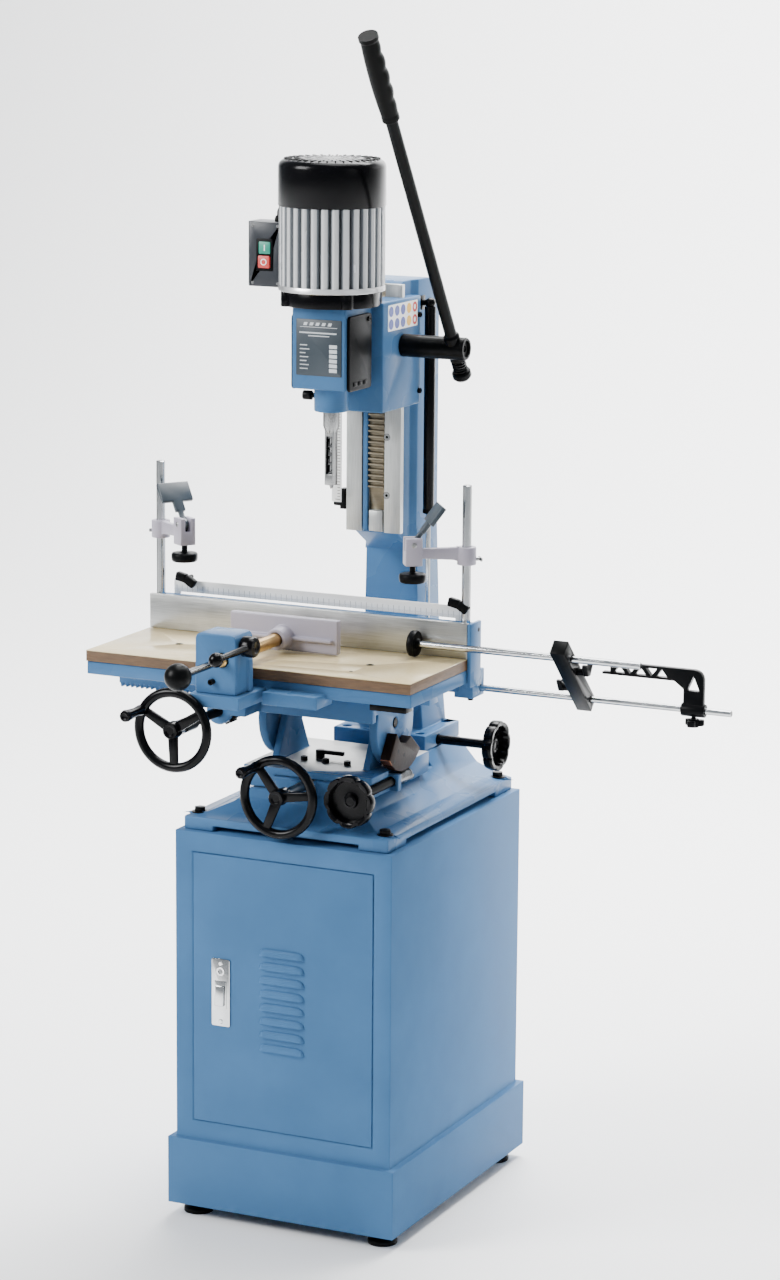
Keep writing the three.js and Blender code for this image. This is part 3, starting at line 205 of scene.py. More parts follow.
def rounded(a0, a1, b0, b1, r, steps=4):
    """A rectangle's outline with round corners."""
    return (arc(a1 - r, b1 - r, r, 0, 90, steps) + arc(a0 + r, b1 - r, r, 90, 180, steps)
            + arc(a0 + r, b0 + r, r, 180, 270, steps) + arc(a1 - r, b0 + r, r, 270, 360, steps))


def finish_piece(name, bm, looks, body, stands_for=(), slot=None, sharp=32, place=None):
    """Makes the piece an object in the frame that rides on its body."""
    if place:
        bm.transform(place)
    bm.transform(TO_FRAME)
    bmesh.ops.recalc_face_normals(bm, faces=bm.faces)
    if not stands_for:
        slot = slot or SLOTS[looks]
    link_piece(name, bm, looks, body, stands_for, slot, sharp)


def link_piece(name, bm, looks, body, stands_for, slot, sharp):
    """Puts a mesh that is in the frame's place into the scene, with its materials, body and marks."""
    mesh = bpy.data.meshes.new(name)
    bm.to_mesh(mesh)
    bm.free()
    mesh.shade_smooth()
    mesh.set_sharp_from_angle(angle=math.radians(sharp))
    for look in [looks] if isinstance(looks, str) else looks:
        mesh.materials.append(MATERIALS[look])
    obj = bpy.data.objects.new(name, mesh)
    bpy.context.scene.collection.objects.link(obj)
    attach(obj, body)
    if stands_for:
        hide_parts(*stands_for)


def soften(node, looks, width=1.0, segments=2, choose=None, over=30):
    """Stands a copy with eased edges and smooth curves in for a CAD node."""
    source = frame["nodes"][node]
    bm = bmesh.new()
    bm.from_mesh(source.data)
    bmesh.ops.remove_doubles(bm, verts=bm.verts, dist=1e-5)
    bmesh.ops.dissolve_limit(bm, angle_limit=math.radians(0.6), verts=bm.verts, edges=bm.edges)
    if width:
        ease(bm, list(bm.edges), width / 1000, segments, over)
    if choose:
        for face in bm.faces:
            centre = (face.calc_center_median() - ORIGIN) * 1000
            face.material_index = choose(centre, face.normal)
    link_piece(node + "_finished", bm, looks, source["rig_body"], [node], None, 38)


# ---- shader helpers ----
def group(name, sockets, build):
    """A shader node group, with its sockets as (name, kind, default) and its inside made by build."""
    tree = bpy.data.node_groups.new(name, "ShaderNodeTree")
    for label, kind, default in sockets:
        socket = tree.interface.new_socket(label, in_out="INPUT", socket_type=kind)
        socket.default_value = default
    for label, kind in (("Color", "NodeSocketColor"), ("Roughness", "NodeSocketFloat"),
                        ("Normal", "NodeSocketVector")):
        tree.interface.new_socket(label, in_out="OUTPUT", socket_type=kind)
    inside = tree.nodes.new("NodeGroupInput")
    outside = tree.nodes.new("NodeGroupOutput")
    build(tree, inside.outputs, outside.inputs)
    return tree


def node(tree, kind, inputs=None, **settings):
    """Adds a node, sets its properties, and joins or fills its inputs."""
    made = tree.nodes.new(kind)
    for key, value in settings.items():
        setattr(made, key, value)
    for key, value in (inputs or {}).items():
        if isinstance(value, bpy.types.NodeSocket):
            tree.links.new(value, made.inputs[key])
        else:
            made.inputs[key].default_value = value
    return made


def maths(tree, operation, *values):
    """The answer of a maths node."""
    return node(tree, "ShaderNodeMath", dict(enumerate(values)), operation=operation).outputs["Value"]


def tinted(tree, colour, share):
    """A colour times a value."""
    return node(tree, "ShaderNodeVectorMath", {0: colour, 1: share}, operation="MULTIPLY").outputs["Vector"]


def blend(tree, share, one, two):
    """A mix of two colours."""
    return node(tree, "ShaderNodeMix", {0: share, 6: one, 7: two}, data_type="RGBA").outputs[2]


def send(tree, out, colour, roughness, bump):
    """Leads the colour and roughness out of a group, with a bump's normal."""
    tree.links.new(colour, out["Color"])
    tree.links.new(roughness, out["Roughness"])
    tree.links.new(node(tree, "ShaderNodeBump", bump).outputs["Normal"], out["Normal"])


def parts_of_place(tree):
    """The three parts of an Object coordinate."""
    place = node(tree, "ShaderNodeTexCoord").outputs["Object"]
    return node(tree, "ShaderNodeSeparateXYZ", {0: place}).outputs


def coordinates(tree, scale=(1, 1, 1)):
    """Object coordinates, stretched."""
    source = node(tree, "ShaderNodeTexCoord").outputs["Object"]
    return node(tree, "ShaderNodeMapping", {"Vector": source, "Scale": scale}).outputs["Vector"]


def coated(tree, given, out):
    """Paint: cloudy colour, roughness that follows the clouds, and orange peel or casting grain."""
    place = coordinates(tree)
    cloud = node(tree, "ShaderNodeTexNoise", {"Vector": place, "Scale": 9.0, "Detail": 3.0})
    grain = node(tree, "ShaderNodeTexNoise", {"Vector": place, "Scale": given["Grain scale"], "Detail": 2.0})
    span = node(tree, "ShaderNodeMapRange", {"Value": cloud.outputs["Fac"], "From Min": 0.3, "From Max": 0.7,
                                             "To Min": 0.93, "To Max": 1.06})
    send(tree, out, tinted(tree, given["Colour"], span.outputs["Result"]),
         maths(tree, "MULTIPLY_ADD", cloud.outputs["Fac"], 0.12, given["Shine"]),
         {"Strength": given["Grain"], "Distance": 0.0006, "Height": grain.outputs["Fac"]})


def brushed(tree, given, out):
    """Ground or turned metal: fine scratches along one axis over soft blotches, with painted shade darkening
    the rim at grazing view.
    """
    source = node(tree, "ShaderNodeTexCoord").outputs["Object"]
    place = node(tree, "ShaderNodeVectorMath", {0: source, 1: given["Stretch"]}, operation="MULTIPLY")
    lines = node(tree, "ShaderNodeTexNoise", {"Vector": place.outputs["Vector"], "Scale": 1.0, "Detail": 5.0})
    blot = node(tree, "ShaderNodeTexNoise", {"Vector": source, "Scale": given["Blotch scale"], "Detail": 4.0})
    mixed = maths(tree, "ADD", lines.outputs["Fac"], blot.outputs["Fac"])
    span = node(tree, "ShaderNodeMapRange", {"Value": mixed, "From Min": 0.7, "From Max": 1.3,
                                             "To Min": given["Darkest"], "To Max": 1.1})
    # Painted shade: the colour darkens towards grazing view at the rim, standing in for dark reflections.
    rim = node(tree, "ShaderNodeLayerWeight", {"Blend": 0.5})
    shade = node(tree, "ShaderNodeMapRange", {"Value": rim.outputs["Facing"], "From Min": 0.3,
                                              "From Max": 0.62, "To Min": 1.0, "To Max": given["Painted rim shade"]})
    both = maths(tree, "MULTIPLY", span.outputs["Result"], shade.outputs["Result"])
    send(tree, out, tinted(tree, given["Colour"], both),
         maths(tree, "MULTIPLY_ADD", mixed, 0.18, given["Shine"]),
         {"Strength": given["Grain"], "Distance": 0.0002, "Height": lines.outputs["Fac"]})


COATED = [("Colour", "NodeSocketColor", (0.5, 0.5, 0.5, 1)), ("Shine", "NodeSocketFloat", 0.3),
          ("Grain scale", "NodeSocketFloat", 400.0), ("Grain", "NodeSocketFloat", 0.1)]
BRUSHED = [("Colour", "NodeSocketColor", (0.6, 0.6, 0.6, 1)), ("Shine", "NodeSocketFloat", 0.2),
           ("Stretch", "NodeSocketVector", (20.0, 900.0, 900.0)), ("Blotch scale", "NodeSocketFloat", 14.0),
           ("Grain", "NodeSocketFloat", 0.15), ("Darkest", "NodeSocketFloat", 0.72),
           ("Painted rim shade", "NodeSocketFloat", 1.0)]


def material(name, shader_group, values, **principled):
    """A Principled material fed by a shared group, with constants on its sockets."""
    made = bpy.data.materials.new(name)
    made.use_nodes = True
    tree = made.node_tree
    shader = tree.nodes["Principled BSDF"]
    source = tree.nodes.new("ShaderNodeGroup")
    source.node_tree = shader_group
    for key, value in values.items():
        source.inputs[key].default_value = value
    for given, taken in (("Color", "Base Color"), ("Roughness", "Roughness"), ("Normal", "Normal")):
        tree.links.new(source.outputs[given], shader.inputs[taken])
    for key, value in principled.items():
        shader.inputs[key.replace("_", " ")].default_value = value
    MATERIALS[name] = made


def linear(text):
    """A colour written as six hex digits, as scene-linear values."""
    parts = [int(text[i:i + 2], 16) / 255 for i in (0, 2, 4)]
    return (*[p / 12.92 if p <= 0.04045 else ((p + 0.055) / 1.055) ** 2.4 for p in parts], 1)


# Colour (six hex digits or a name in MortiserColours), shine, grain scale, grain and index of refraction.
PAINTS = {
    "Blue sheet paint": ("paint", 0.34, 700, 0.05, 1.1),
    "Blue casting paint": ("paint", 0.22, 260, 0.16, 1.16),
    "Black gloss paint": ("050507", 0.14, 300, 0.06, 1.24),
    "Black satin paint": ("08090A", 0.26, 500, 0.12, 1.18),
    "Black moulded plastic": ("0A0B0D", 0.28, 900, 0.12, 1.16),
    # Also used as painted shade for the holes in the sector, the pivot and the fence end.
    "Black rubber": ("070808", 0.34, 900, 0.15, 1.16),
    "Switch grey plastic": ("22262D", 0.3, 1200, 0.15, 1.5),
    "Lilac casting": ("clamp", 0.3, 300, 0.2, 1.5),
    "White enamel": ("F4F4F2", 0.3, 600, 0.03, 1.5),
    "Dark brown casting": ("21150F", 0.36, 260, 0.4, 1.16),
    "Signal green": ("1E8A74", 0.3, 900, 0.03, 1.5),
    "Signal red": ("C8403C", 0.3, 900, 0.03, 1.5),
    "Label blue": ("17359A", 0.3, 900, 0.03, 1.5),
    "Label yellow": ("EDB51E", 0.3, 900, 0.03, 1.5),
    "Label red": ("C22C28", 0.3, 900, 0.03, 1.5),
    "Plate grey": ("2E3840", 0.3, 900, 0.03, 1.5),
    "Plate mark": ("C9CED2", 0.3, 900, 0.03, 1.5),
}
# Colour, shine, stretch, blotch scale, grain, darkest, painted rim shade and metallic.
METALS = {
    "Ground steel": ("BBBCBA", 0.2, (20, 900, 900), 16, 0.15, 0.72, 1.0, 1.0),
    "Machined ways": ("BBBDBC", 0.22, (900, 900, 25), 9, 0.15, 0.72, 1.0, 1.0),
    "Turned steel": ("A4A5A5", 0.12, (500, 1200, 500), 30, 0.15, 0.72, 0.25, 1.0),
    "Rack metal": ("8F8674", 0.26, (60, 600, 600), 90, 0.3, 0.72, 1.0, 1.0),
    "Bright chrome": ("DDDFE0", 0.0, (80, 80, 80), 14, 0.02, 0.9, 0.1, 1.0),
    "Cast aluminium": ("housing", 0.08, (30, 30, 2), 4, 0.02, 0.94, 0.4, 0.5),
    # Painted shade: a darker grey for the walls deep in the motor flutes.
    "Aluminium with painted groove shade": ("7C8186", 0.3, (30, 30, 2), 4, 0.02, 0.8, 0.1, 0.6),
    "Turned brass": ("C8A468", 0.12, (200, 1500, 200), 40, 0.15, 0.72, 1.0, 1.0),
    "Copper": ("9C6A52", 0.3, (300, 300, 300), 60, 0.15, 0.72, 1.0, 1.0),
}
LAMINATE = 0.0012


def make_materials(colours):
    paint = group("Coated surface", COATED, coated)
    metal = group("Brushed surface", BRUSHED, brushed)
    own = {name: tuple(getattr(colours, name)) for name in ("paint", "housing", "clamp")}
    for name, (colour, shine, scale, grain, ior) in PAINTS.items():
        material(name, paint, {"Colour": own.get(colour) or linear(colour), "Shine": shine,
                               "Grain scale": scale, "Grain": grain}, IOR=ior)
    # The rim value is painted shade: how far the colour darkens at grazing view.
    for name, (colour, shine, stretch, blotch, grain, darkest, rim, metallic) in METALS.items():
        material(name, metal, {"Colour": own.get(colour) or linear(colour), "Shine": shine,
                               "Stretch": stretch, "Blotch scale": blotch, "Grain": grain,
                               "Darkest": darkest, "Painted rim shade": rim}, Metallic=metallic)
    board = group("Laminated board", [("Top", "NodeSocketFloat", 0.0)], laminated)
    material("Laminated board", board, {"Top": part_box("table_top")[1].z - LAMINATE})
    rule = group("Graduated rule", [("Pitch", "NodeSocketFloat", 0.01)], graduated)
    material("Graduated rule", rule, {"Pitch": 0.01}, Coat_Weight=0.3)


def laminated(tree, given, out):
    """Cream laminate on top and fibrous brown board at the edges."""
    top = maths(tree, "GREATER_THAN", parts_of_place(tree)["Z"], given["Top"])
    fleck = node(tree, "ShaderNodeTexNoise", {"Vector": coordinates(tree), "Scale": 120.0, "Detail": 4.0})
    fibre = node(tree, "ShaderNodeTexNoise", {"Vector": coordinates(tree, (60, 60, 420)), "Scale": 1.0,
                                              "Detail": 6.0})
    cream = blend(tree, fleck.outputs["Fac"], linear("C4B184"), linear("D3C297"))
    brown = blend(tree, fibre.outputs["Fac"], linear("36281A"), linear("745638"))
    rough = node(tree, "ShaderNodeMapRange", {"Value": top, "To Min": 0.6, "To Max": 0.2})
    send(tree, out, blend(tree, top, brown, cream), rough.outputs["Result"],
         {"Strength": 0.08, "Distance": 0.0003, "Height": fibre.outputs["Fac"]})


def graduated(tree, given, out):
    """White rule with grey marks each pitch and shorter ones at a fifth of it."""
    parts = parts_of_place(tree)
    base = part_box("fence_ruler")[0]
    marks = []
    for share, reach, width in ((1.0, 0.012, 0.06), (0.2, 0.006, 0.16)):
        steps = maths(tree, "DIVIDE", parts["X"], maths(tree, "MULTIPLY", given["Pitch"], share))
        line = maths(tree, "LESS_THAN", maths(tree, "FRACT", steps), width)
        height = maths(tree, "LESS_THAN", parts["Z"], base.z + 0.004 + reach)
        marks.append(maths(tree, "MULTIPLY", line, height))
    ink = maths(tree, "MAXIMUM", *marks)
    rough = node(tree, "ShaderNodeMapRange", {"Value": ink, "To Min": 0.25, "To Max": 0.4})
    send(tree, out, blend(tree, ink, linear("F5F5F3"), linear("55585C")), rough.outputs["Result"],
         {"Strength": 0.02, "Height": ink})


# ---- stand ----
def hex_bolt(bm, x, y, z, across):
    """A flanged hexagon bolt head standing on z."""
    turned(bm, "z", x, y, [(0, 0), (across * 0.86, 0), (across * 0.86, 1.6), (across * 0.6, 2.4), (0, 2.4)],
           24, z)
    plate(bm, "z", arc(x, y, across * 0.62, 0, 300, 5), z + 2, z + 9, 0.7)


def socket_screw(bm, axis, a, b, start, r, tall, facing=1):
    """A round screw head with a round recess."""
    end = start + facing * tall
    deep = start + facing * tall * 0.35
    turned(bm, axis, a, b, [(0, start), (r, start), (r, end - facing * 0.6), (r - 0.6, end), (r * 0.5, end),
                            (r * 0.46, deep), (0, deep)], 18)


def build_stand():
    feet_top = 20.5
    soften("cabinet", ["Blue sheet paint", "Black rubber"], 1.6, choose=lambda c, n: int(c.z < feet_top))
    build_door()
    soften("base_casting", "Blue casting paint", 2.2, 3, over=20)
    soften("column", "Blue casting paint", 2.4, 3, over=20)
    soften("way_plates", "Machined ways", 0.6)
    soften("head_rack", "Rack metal", 0.25, 1)
    soften("depth_stop", "Black satin paint", 0.8)
    base_low, base_high = low("base_casting"), high("base_casting")
    flange = base_low.z + 28
    bm = bmesh.new()
    for x in (base_low.x + 17, base_high.x - 17):
        for y in (base_low.y + 24, base_high.y - 24):
            hex_bolt(bm, x, y, flange - 3, 16)
    finish_piece("base_bolts", bm, "Black satin paint", "stand")
    bm = bmesh.new()
    ways = low("way_plates")
    screw_x, face = 25.5, ways.y
    screws = (ways.z + 64, ways.z + 163)
    for z in screws:
        turned(bm, "y", screw_x, z, [(2.7, -0.16), (5.4, -0.16), (5.6, 0), (5.6, 0.6), (2.7, 0.6),
                                     (2.7, -0.16)], 28, face)
    finish_piece("way_screws", bm, "Turned steel", "stand")
    bm = bmesh.new()
    for z in screws:
        turned(bm, "y", screw_x, z, [(5.7, -0.1), (6.1, -0.1), (6.1, 0.4), (5.7, 0.4), (5.7, -0.1)], 24, face)
        turned(bm, "y", screw_x, z, [(0, -0.12), (2.6, -0.12), (2.6, 0.4), (0, 0.4)], 6, face)
    finish_piece("way_screw_shadows", bm, "Black satin paint", "stand")
    bm = bmesh.new()
    block(bm, -19, -11, face + 1, face + 9.2, ways.z + 2, high("way_plates").z - 2, 0.6)
    finish_piece("way_divider", bm, "Blue casting paint", "stand")
    bm = bmesh.new()
    block(bm, -8, 17, face + 2, face + 9, ways.z + 1, low("head_rack").z - 1, 0.6)
    finish_piece("way_spacer", bm, "Machined ways", "stand")


def build_door():
    door_low, door_high = low("cabinet_door"), high("cabinet_door")
    front = low("cabinet").y + 11
    bm = bmesh.new()
    block(bm, door_low.x, door_high.x, front, door_high.y, door_low.z, door_high.z, 1.2, 3)
    finish_piece("door_panel", bm, "Blue sheet paint", "door", ["cabinet_door"])
    bm = bmesh.new()
    louvres, highest, pitch = 8, 480, 23.4
    for i in range(louvres):
        louvre(bm, 0, front, highest - i * pitch)
    finish_piece("door_louvres", bm, "Blue sheet paint", "door", sharp=50)
    x = -112.8
    bm = bmesh.new()
    plate(bm, "y", rounded(x - 17, x + 17, 341.5, 457.5, 3), front - 2.2, front + 0.5, 0.8)
    plate(bm, "y", rounded(x - 11, x + 11, 372, 420, 2), front - 3.4, front - 2, 0.5)
    for z in (349.5, 449.5):
        turned(bm, "y", x, z, [(0, -3.4), (3.2, -3.4), (4.2, -2), (4.2, -1), (0, -1)], 20, front)
    turned(bm, "y", x, 436, [(4.4, -2), (7.4, -2), (7.4, -3.4), (4.4, -3.4), (4.4, -2)], 28, front)
    finish_piece("latch_plate", bm, "Bright chrome", "door")
    soften("door_latch_paddle", "Bright chrome", 1.2, 3)


def louvre(bm, x, front, z):
    """A pressed louvre: a long half-round hood, open below."""
    half, tall, proud = 42.0, 12.5, 5.5
    rows, columns = 10, 28
    rings = []
    for i in range(rows + 1):
        swing = math.pi / 2 * i / rows
        ring = []
        for k in range(columns + 1):
            share = -1 + 2 * k / columns
            pull = (1 - abs(share) ** 7) ** 0.5
            ring.append(bm.verts.new((x + half * share, front - 0.2 - proud * pull * math.cos(swing),
                                      z - tall / 2 + tall * pull * math.sin(swing))))
        rings.append(ring)
    skin(bm, rings, wrap=False)
    bm.faces.new(rings[0] + [bm.verts.new((x, front, z - tall / 2))])
    bmesh.ops.remove_doubles(bm, verts=bm.verts, dist=0.01)


# ---- head ----
def build_head(sizes):
    soften("head_casting", "Blue casting paint", 2.6, 3, over=25)
    soften("chisel_lock_screw", "Black satin paint", 0.8)
    soften("motor_flange", "Black gloss paint", 1.2)
    build_motor(sizes)
    build_switch(sizes)
    build_chisel()
    build_gas_spring()
    build_head_trim()
    build_feed()


def build_motor(sizes):
    at = middle("motor_fan_cover")
    x, y = at.x, at.y
    house_low = low("motor_housing").z
    cap_low, cap_high = low("motor_fan_cover").z, high("motor_fan_cover").z
    crown = high("motor_fan_cover").x - x
    flutes = sizes.motor_flutes
    per = 14
    bm = bmesh.new()
    outline = []
    for i in range(flutes * per):
        t = math.tau * i / (flutes * per)
        r = crown - 1.2 - sizes.flute_depth * (1 - abs(math.cos(t * flutes / 2)) ** 0.75)
        outline.append((x + r * math.cos(t), y + r * math.sin(t)))
    plate(bm, "z", outline, house_low + 2, cap_low - 0.5, 0)
    inner, edge = crown - 9, crown - 1.5
    turned(bm, "z", x, y, [(inner, 9), (edge, 9), (edge + 1, 7), (edge + 1, 1), (edge, 0), (inner, 0),
                           (inner, 9)], 96, house_low)
    # Faces deep in the flutes take the second, darker material: painted shade in the grooves.
    for face in bm.faces:
        centre = face.calc_center_median()
        deep = math.hypot(centre.x - x, centre.y - y) < crown - 3.6
        face.material_index = int(deep and abs(face.normal.z) < 0.3)
    box_low, box_high = low("switch_box"), high("switch_box")
    block(bm, box_high.x + 0.4, x - crown + 13, box_low.y + 2, box_high.y - 2, house_low, cap_low - 0.4, 1.2)
    finish_piece("motor_housing_finned", bm, ["Cast aluminium", "Aluminium with painted groove shade"], "head",
                 ["motor_housing"], sharp=40)
    bm = bmesh.new()
    turned(bm, "z", x, y, [(crown - 4, cap_low), (crown - 0.8, cap_low), (crown, cap_low + 0.8)]
           + [(crown, cap_high - 22)] + arc(crown - 13, cap_high - 15, 13, 0, 78, 8)
           + [(crown - 30, cap_high - 0.9), (54, cap_high - 0.4), (0, cap_high - 0.2)], 96)
    finish_piece("motor_cap_round", bm, "Black gloss paint", "head", ["motor_fan_cover"], sharp=50)
    bm = bmesh.new()
    for ring, count in ((23, 12), (40, 20), (57, 28), (73, 36)):
        for i in range(count):
            t = math.tau * i / count
            slot = Matrix.Translation((x, y, cap_high - 0.9)) @ Matrix.Rotation(t, 4, "Z")
            cube(bm, slot @ Matrix.Translation((ring, 0, 0)), (11, 2.4, 1.6))
    finish_piece("motor_cap_vents", bm, "Black satin paint", "head")
    soften("motor_rotor_and_fan", "Turned steel", 0.6)
    soften("drill_chuck", "Bright chrome", 0.6)


def build_switch(sizes):
    soften("switch_box", "Switch grey plastic", 1.4)
    box_low, box_high = low("switch_box"), high("switch_box")
    green, red = middle("start_button"), middle("stop_button")
    bm = bmesh.new()
    front, margin = box_low.y, 15
    plate(bm, "y", rounded(green.x - margin, green.x + margin, red.z - margin, green.z + margin, 2.5),
          front - 1.6, front + 0.2, 0.6)
    finish_piece("switch_bezel", bm, "Black moulded plastic", "head")
    bm = bmesh.new()
    for lug in (box_low.z + 6, box_high.z - 6):
        for x in (box_low.x + 14, box_high.x - 6):
            turned(bm, "y", x, lug, [(0, -0.8), (2.4, -0.8), (2.8, 0), (0, 0)], 16, front)
    finish_piece("switch_screws", bm, "Turned steel", "head")
    for name, at, look in (("start", green, "Signal green"), ("stop", red, "Signal red")):
        near, far = low(name + "_button"), high(name + "_button")
        bm = bmesh.new()
        plate(bm, "y", rounded(near.x, far.x, near.z, far.z, 2), near.y, far.y, 0.9)
        finish_piece(name + "_cap", bm, look, name, [name + "_button"])
        bm = bmesh.new()
        face = near.y - 0.15
        if name == "start":
            block(bm, at.x - 0.9, at.x + 0.9, face, face + 1, at.z - 5, at.z + 5, 0.2)
        else:
            turned(bm, "y", at.x, at.z, [(4, 0), (5.6, 0), (5.6, 1), (4, 1), (4, 0)], 28, face)
        finish_piece(name + "_mark", bm, "White enamel", name, slot="green" if name == "start" else "red")
    bm = bmesh.new()
    top = box_high.z
    base = Vector((box_high.x - 14, box_low.y + 20, top - 2))
    across, along = 13, 4
    swings = [math.pi * i / 24 for i in range(13)]
    bend = [(across * (1 - math.cos(t)), along * (1 - math.cos(t)), 16 + across * math.sin(t))
            for t in swings]
    lead = [(0, 0, 0), (0, 0, 8)] + bend + [(20, 6, 29), (27, 8, 29)]
    hose(bm, [base + Vector(p) for p in lead], sizes.lead_thickness * 500)
    turned(bm, "z", base.x, base.y, [(0, -2), (7, -2), (7, 6), (5, 10), (0, 10)], 20, top)
    finish_piece("switch_lead", bm, "Black rubber", "head", slot="black_plastic")


def build_chisel():
    at = middle("hollow_chisel")
    soften("hollow_chisel", "Turned steel", 0.7)
    bm = bmesh.new()
    tip, top = low("auger_bit").z, high("auger_bit").z
    turns, steps, core = 7, 20, 2.2
    end = tip + 105
    count = turns * steps
    rings = []
    for i in range(count + 1):
        t = math.tau * i / steps
        reach = 6.1 if i > 6 else 3 + 3.1 * i / 6
        side = Vector((math.cos(t), math.sin(t), 0))
        centre = Vector((at.x, at.y, tip + 3 + (end - tip - 3) * i / count))
        rings.append([bm.verts.new(centre + side * out + Vector((0, 0, up)))
                      for out, up in ((core, 2.4), (reach, 0.9), (reach, -0.9), (core, -2.4))])
    skin(bm, rings)
    bm.faces.new(rings[0])
    bm.faces.new(rings[-1][::-1])
    turned(bm, "z", at.x, at.y, [(0, tip), (2.4, tip + 5), (2.6, end), (5, end + 4), (5, top), (0, top)], 20)
    finish_piece("auger_helix", bm, "Turned steel", "spindle", ["auger_bit"])


def build_gas_spring():
    tube, rod = low("gas_spring_cylinder"), low("gas_spring_rod")
    x, y = middle("gas_spring_rod").x, middle("gas_spring_rod").y
    soften("gas_spring_cylinder", "Black gloss paint", 0.5)
    bm = bmesh.new()
    turned(bm, "z", x, y, [(5.2, 6), (5.2, -1), (9, -1), (9.9, 0), (9.9, 5), (9.6, 6)], 32, tube.z)
    finish_piece("gas_spring_gland", bm, "Black satin paint", "head")
    bm = bmesh.new()
    top = high("gas_spring_rod").z
    bar(bm, "z", x, y, rod.z + 4, top, 4, 0.5, 32)
    turned(bm, "z", x, y, [(0, 0), (6, 0), (7, 1), (7, 12), (5, 14), (0, 14)], 24, rod.z)
    finish_piece("gas_spring_rod_bright", bm, "Bright chrome", "stand", ["gas_spring_rod"])


def stroke(bm, x0, x1, z, tall, front, back, slant=0):
    """A flat bar across the front, as a mark."""
    plate(bm, "y", [(x0, z), (x1, z), (x1 + slant, z + tall), (x0 + slant, z + tall)], front, back, 0)


def build_nameplate(front):
    """A plate with plain bars for its lines and no words."""
    bm = bmesh.new()
    plate(bm, "y", rounded(-40, 42, 1421, 1513, 2), front - 1.2, front + 0.2, 0.4)
    finish_piece("nameplate", bm, "Plate grey", "head", slot="black_metal")
    bm = bmesh.new()
    face, back = front - 1.35, front - 1
    bars = [(-33, 34, 1500, 0.8, 0)] + [(-27 + i * 11, -21 + i * 11, 1503, 5, 2) for i in range(5)]
    bars += [(-34, 33, 1490, 2.2, 0), (-18, 20, 1485.5, 1.4, 0)]
    bars += [(-33, -33 + wide, 1470 - i * 6.4, 1.5, 0) for i, wide in enumerate((13, 17, 10, 15, 12, 16, 14))]
    bars += [(20, 34, 1428 + i * 7.8, 5.8, 0) for i in range(6)]
    for x0, x1, z, tall, slant in bars:
        stroke(bm, x0, x1, z, tall, face, back, slant)
    finish_piece("nameplate_marks", bm, "Plate mark", "head", slot="ruler")


def build_head_trim():
    casting_high = high("head_casting")
    build_nameplate(low("head_casting").y)
    for side, look in ((1, "right"), (-1, "left")):
        x = side * 48
        bm = bmesh.new()
        outer, rim = x + side * 5, x + side * 5.2
        plate(bm, "x", rounded(-127, -43, 1396, 1519, 7), min(x, outer), max(x, outer), 1.6, 3)
        for y0 in (-112, -93, -74):
            plate(bm, "x", rounded(y0, y0 + 12, 1404, 1411, 1), min(x, rim + side), max(x, rim + side), 0.4)
        finish_piece("side_cover_" + look, bm, "Black moulded plastic", "head")
        bm = bmesh.new()
        socket_screw(bm, "x", -56, 1510, outer, 4, 2.6, side)
        finish_piece("side_cover_screw_" + look, bm, "Black satin paint", "head")
    build_label(casting_high.x)
    bm = bmesh.new()
    for y, z in ((118, 1500), (120, 1372)):
        socket_screw(bm, "x", y, z, casting_high.x, 4.6, 5, 1)
    finish_piece("gib_screws", bm, "Black satin paint", "head")
    bm = bmesh.new()
    plate(bm, "y", [(-70, 1182), (-52, 1182), (-52, 1352), (-70, 1352)], 60, 62, 0.4)
    finish_piece("depth_scale", bm, "White enamel", "head", slot="ruler")
    bm = bmesh.new()
    for i in range(33):
        long = 9 if i % 5 == 0 else 5
        stroke(bm, -54 - long, -54, 1186 + i * 5, 0.9, 59.8, 60.2)
    finish_piece("depth_scale_marks", bm, "Black satin paint", "head")


def build_label(x):
    """A plain label: rows of coloured dots on white, with no words or signs."""
    bm = bmesh.new()
    plate(bm, "x", rounded(-1, 113, 1483, 1526, 2), x - 0.1, x + 0.5, 0)
    finish_piece("label_ground", bm, "White enamel", "head", slot="ruler")
    dots = {"Label blue": [], "Label yellow": [], "Label red": []}
    for z in (1515, 1494):
        for column, look in enumerate(["Label blue"] * 3 + ["Label yellow", "Label red"]):
            dots[look].append((10 + column * 23, z))
    for look, places in dots.items():
        bm = bmesh.new()
        for y, z in places:
            inner = 4.6 if look == "Label red" else 0
            turned(bm, "x", y, z, [(inner, 0.4), (inner, 0.75), (8.6, 0.75), (8.6, 0.4)]
                   + ([(inner, 0.4)] if inner else []), 28, x)
        finish_piece(look.lower().replace(" ", "_"), bm, look, "head", slot="ruler")


def build_feed():
    soften("feed_pinion", "Turned steel", 0.3, 1)
    hub = Vector((156, 58, 1455))
    lean = Matrix.Translation(hub) @ Matrix.Rotation(math.radians(33), 4, "X")
    start, end = low("feed_lever").x - hub.x, high("feed_lever").x - hub.x
    bm = bmesh.new()
    turned(bm, "x", 0, 0, [(0, start), (18.2, start), (19, start + 1), (19, end - 2), (17.5, end), (14, end),
                           (13, end - 4), (6, end - 4), (5, end - 6), (0, end - 6)], 48)
    turned(bm, "z", 0, 0, [(0, 0), (10, 0), (10, 470), (0, 470)], 32)
    turned(bm, "z", 0, 0, [(0, -14), (13, -14), (13, -23), (5.5, -24), (5.5, -46), (14, -47), (16, -50),
                           (16, -58), (13, -62), (0, -62)], 32)
    turned(bm, "z", 0, 0, [(0, 14), (13.5, 14), (13.5, 26), (10, 30), (0, 30)], 32)
    finish_piece("feed_lever_round", bm, "Black satin paint", "lever", ["feed_lever"], place=lean)
    bm = bmesh.new()
    coil(bm, "z", 0, 0, -25, -5, 4, 10.6, 1.9, 10)
    finish_piece("feed_lever_spring", bm, "Black gloss paint", "lever", slot="black_metal", place=lean)
    build_grip(lean)


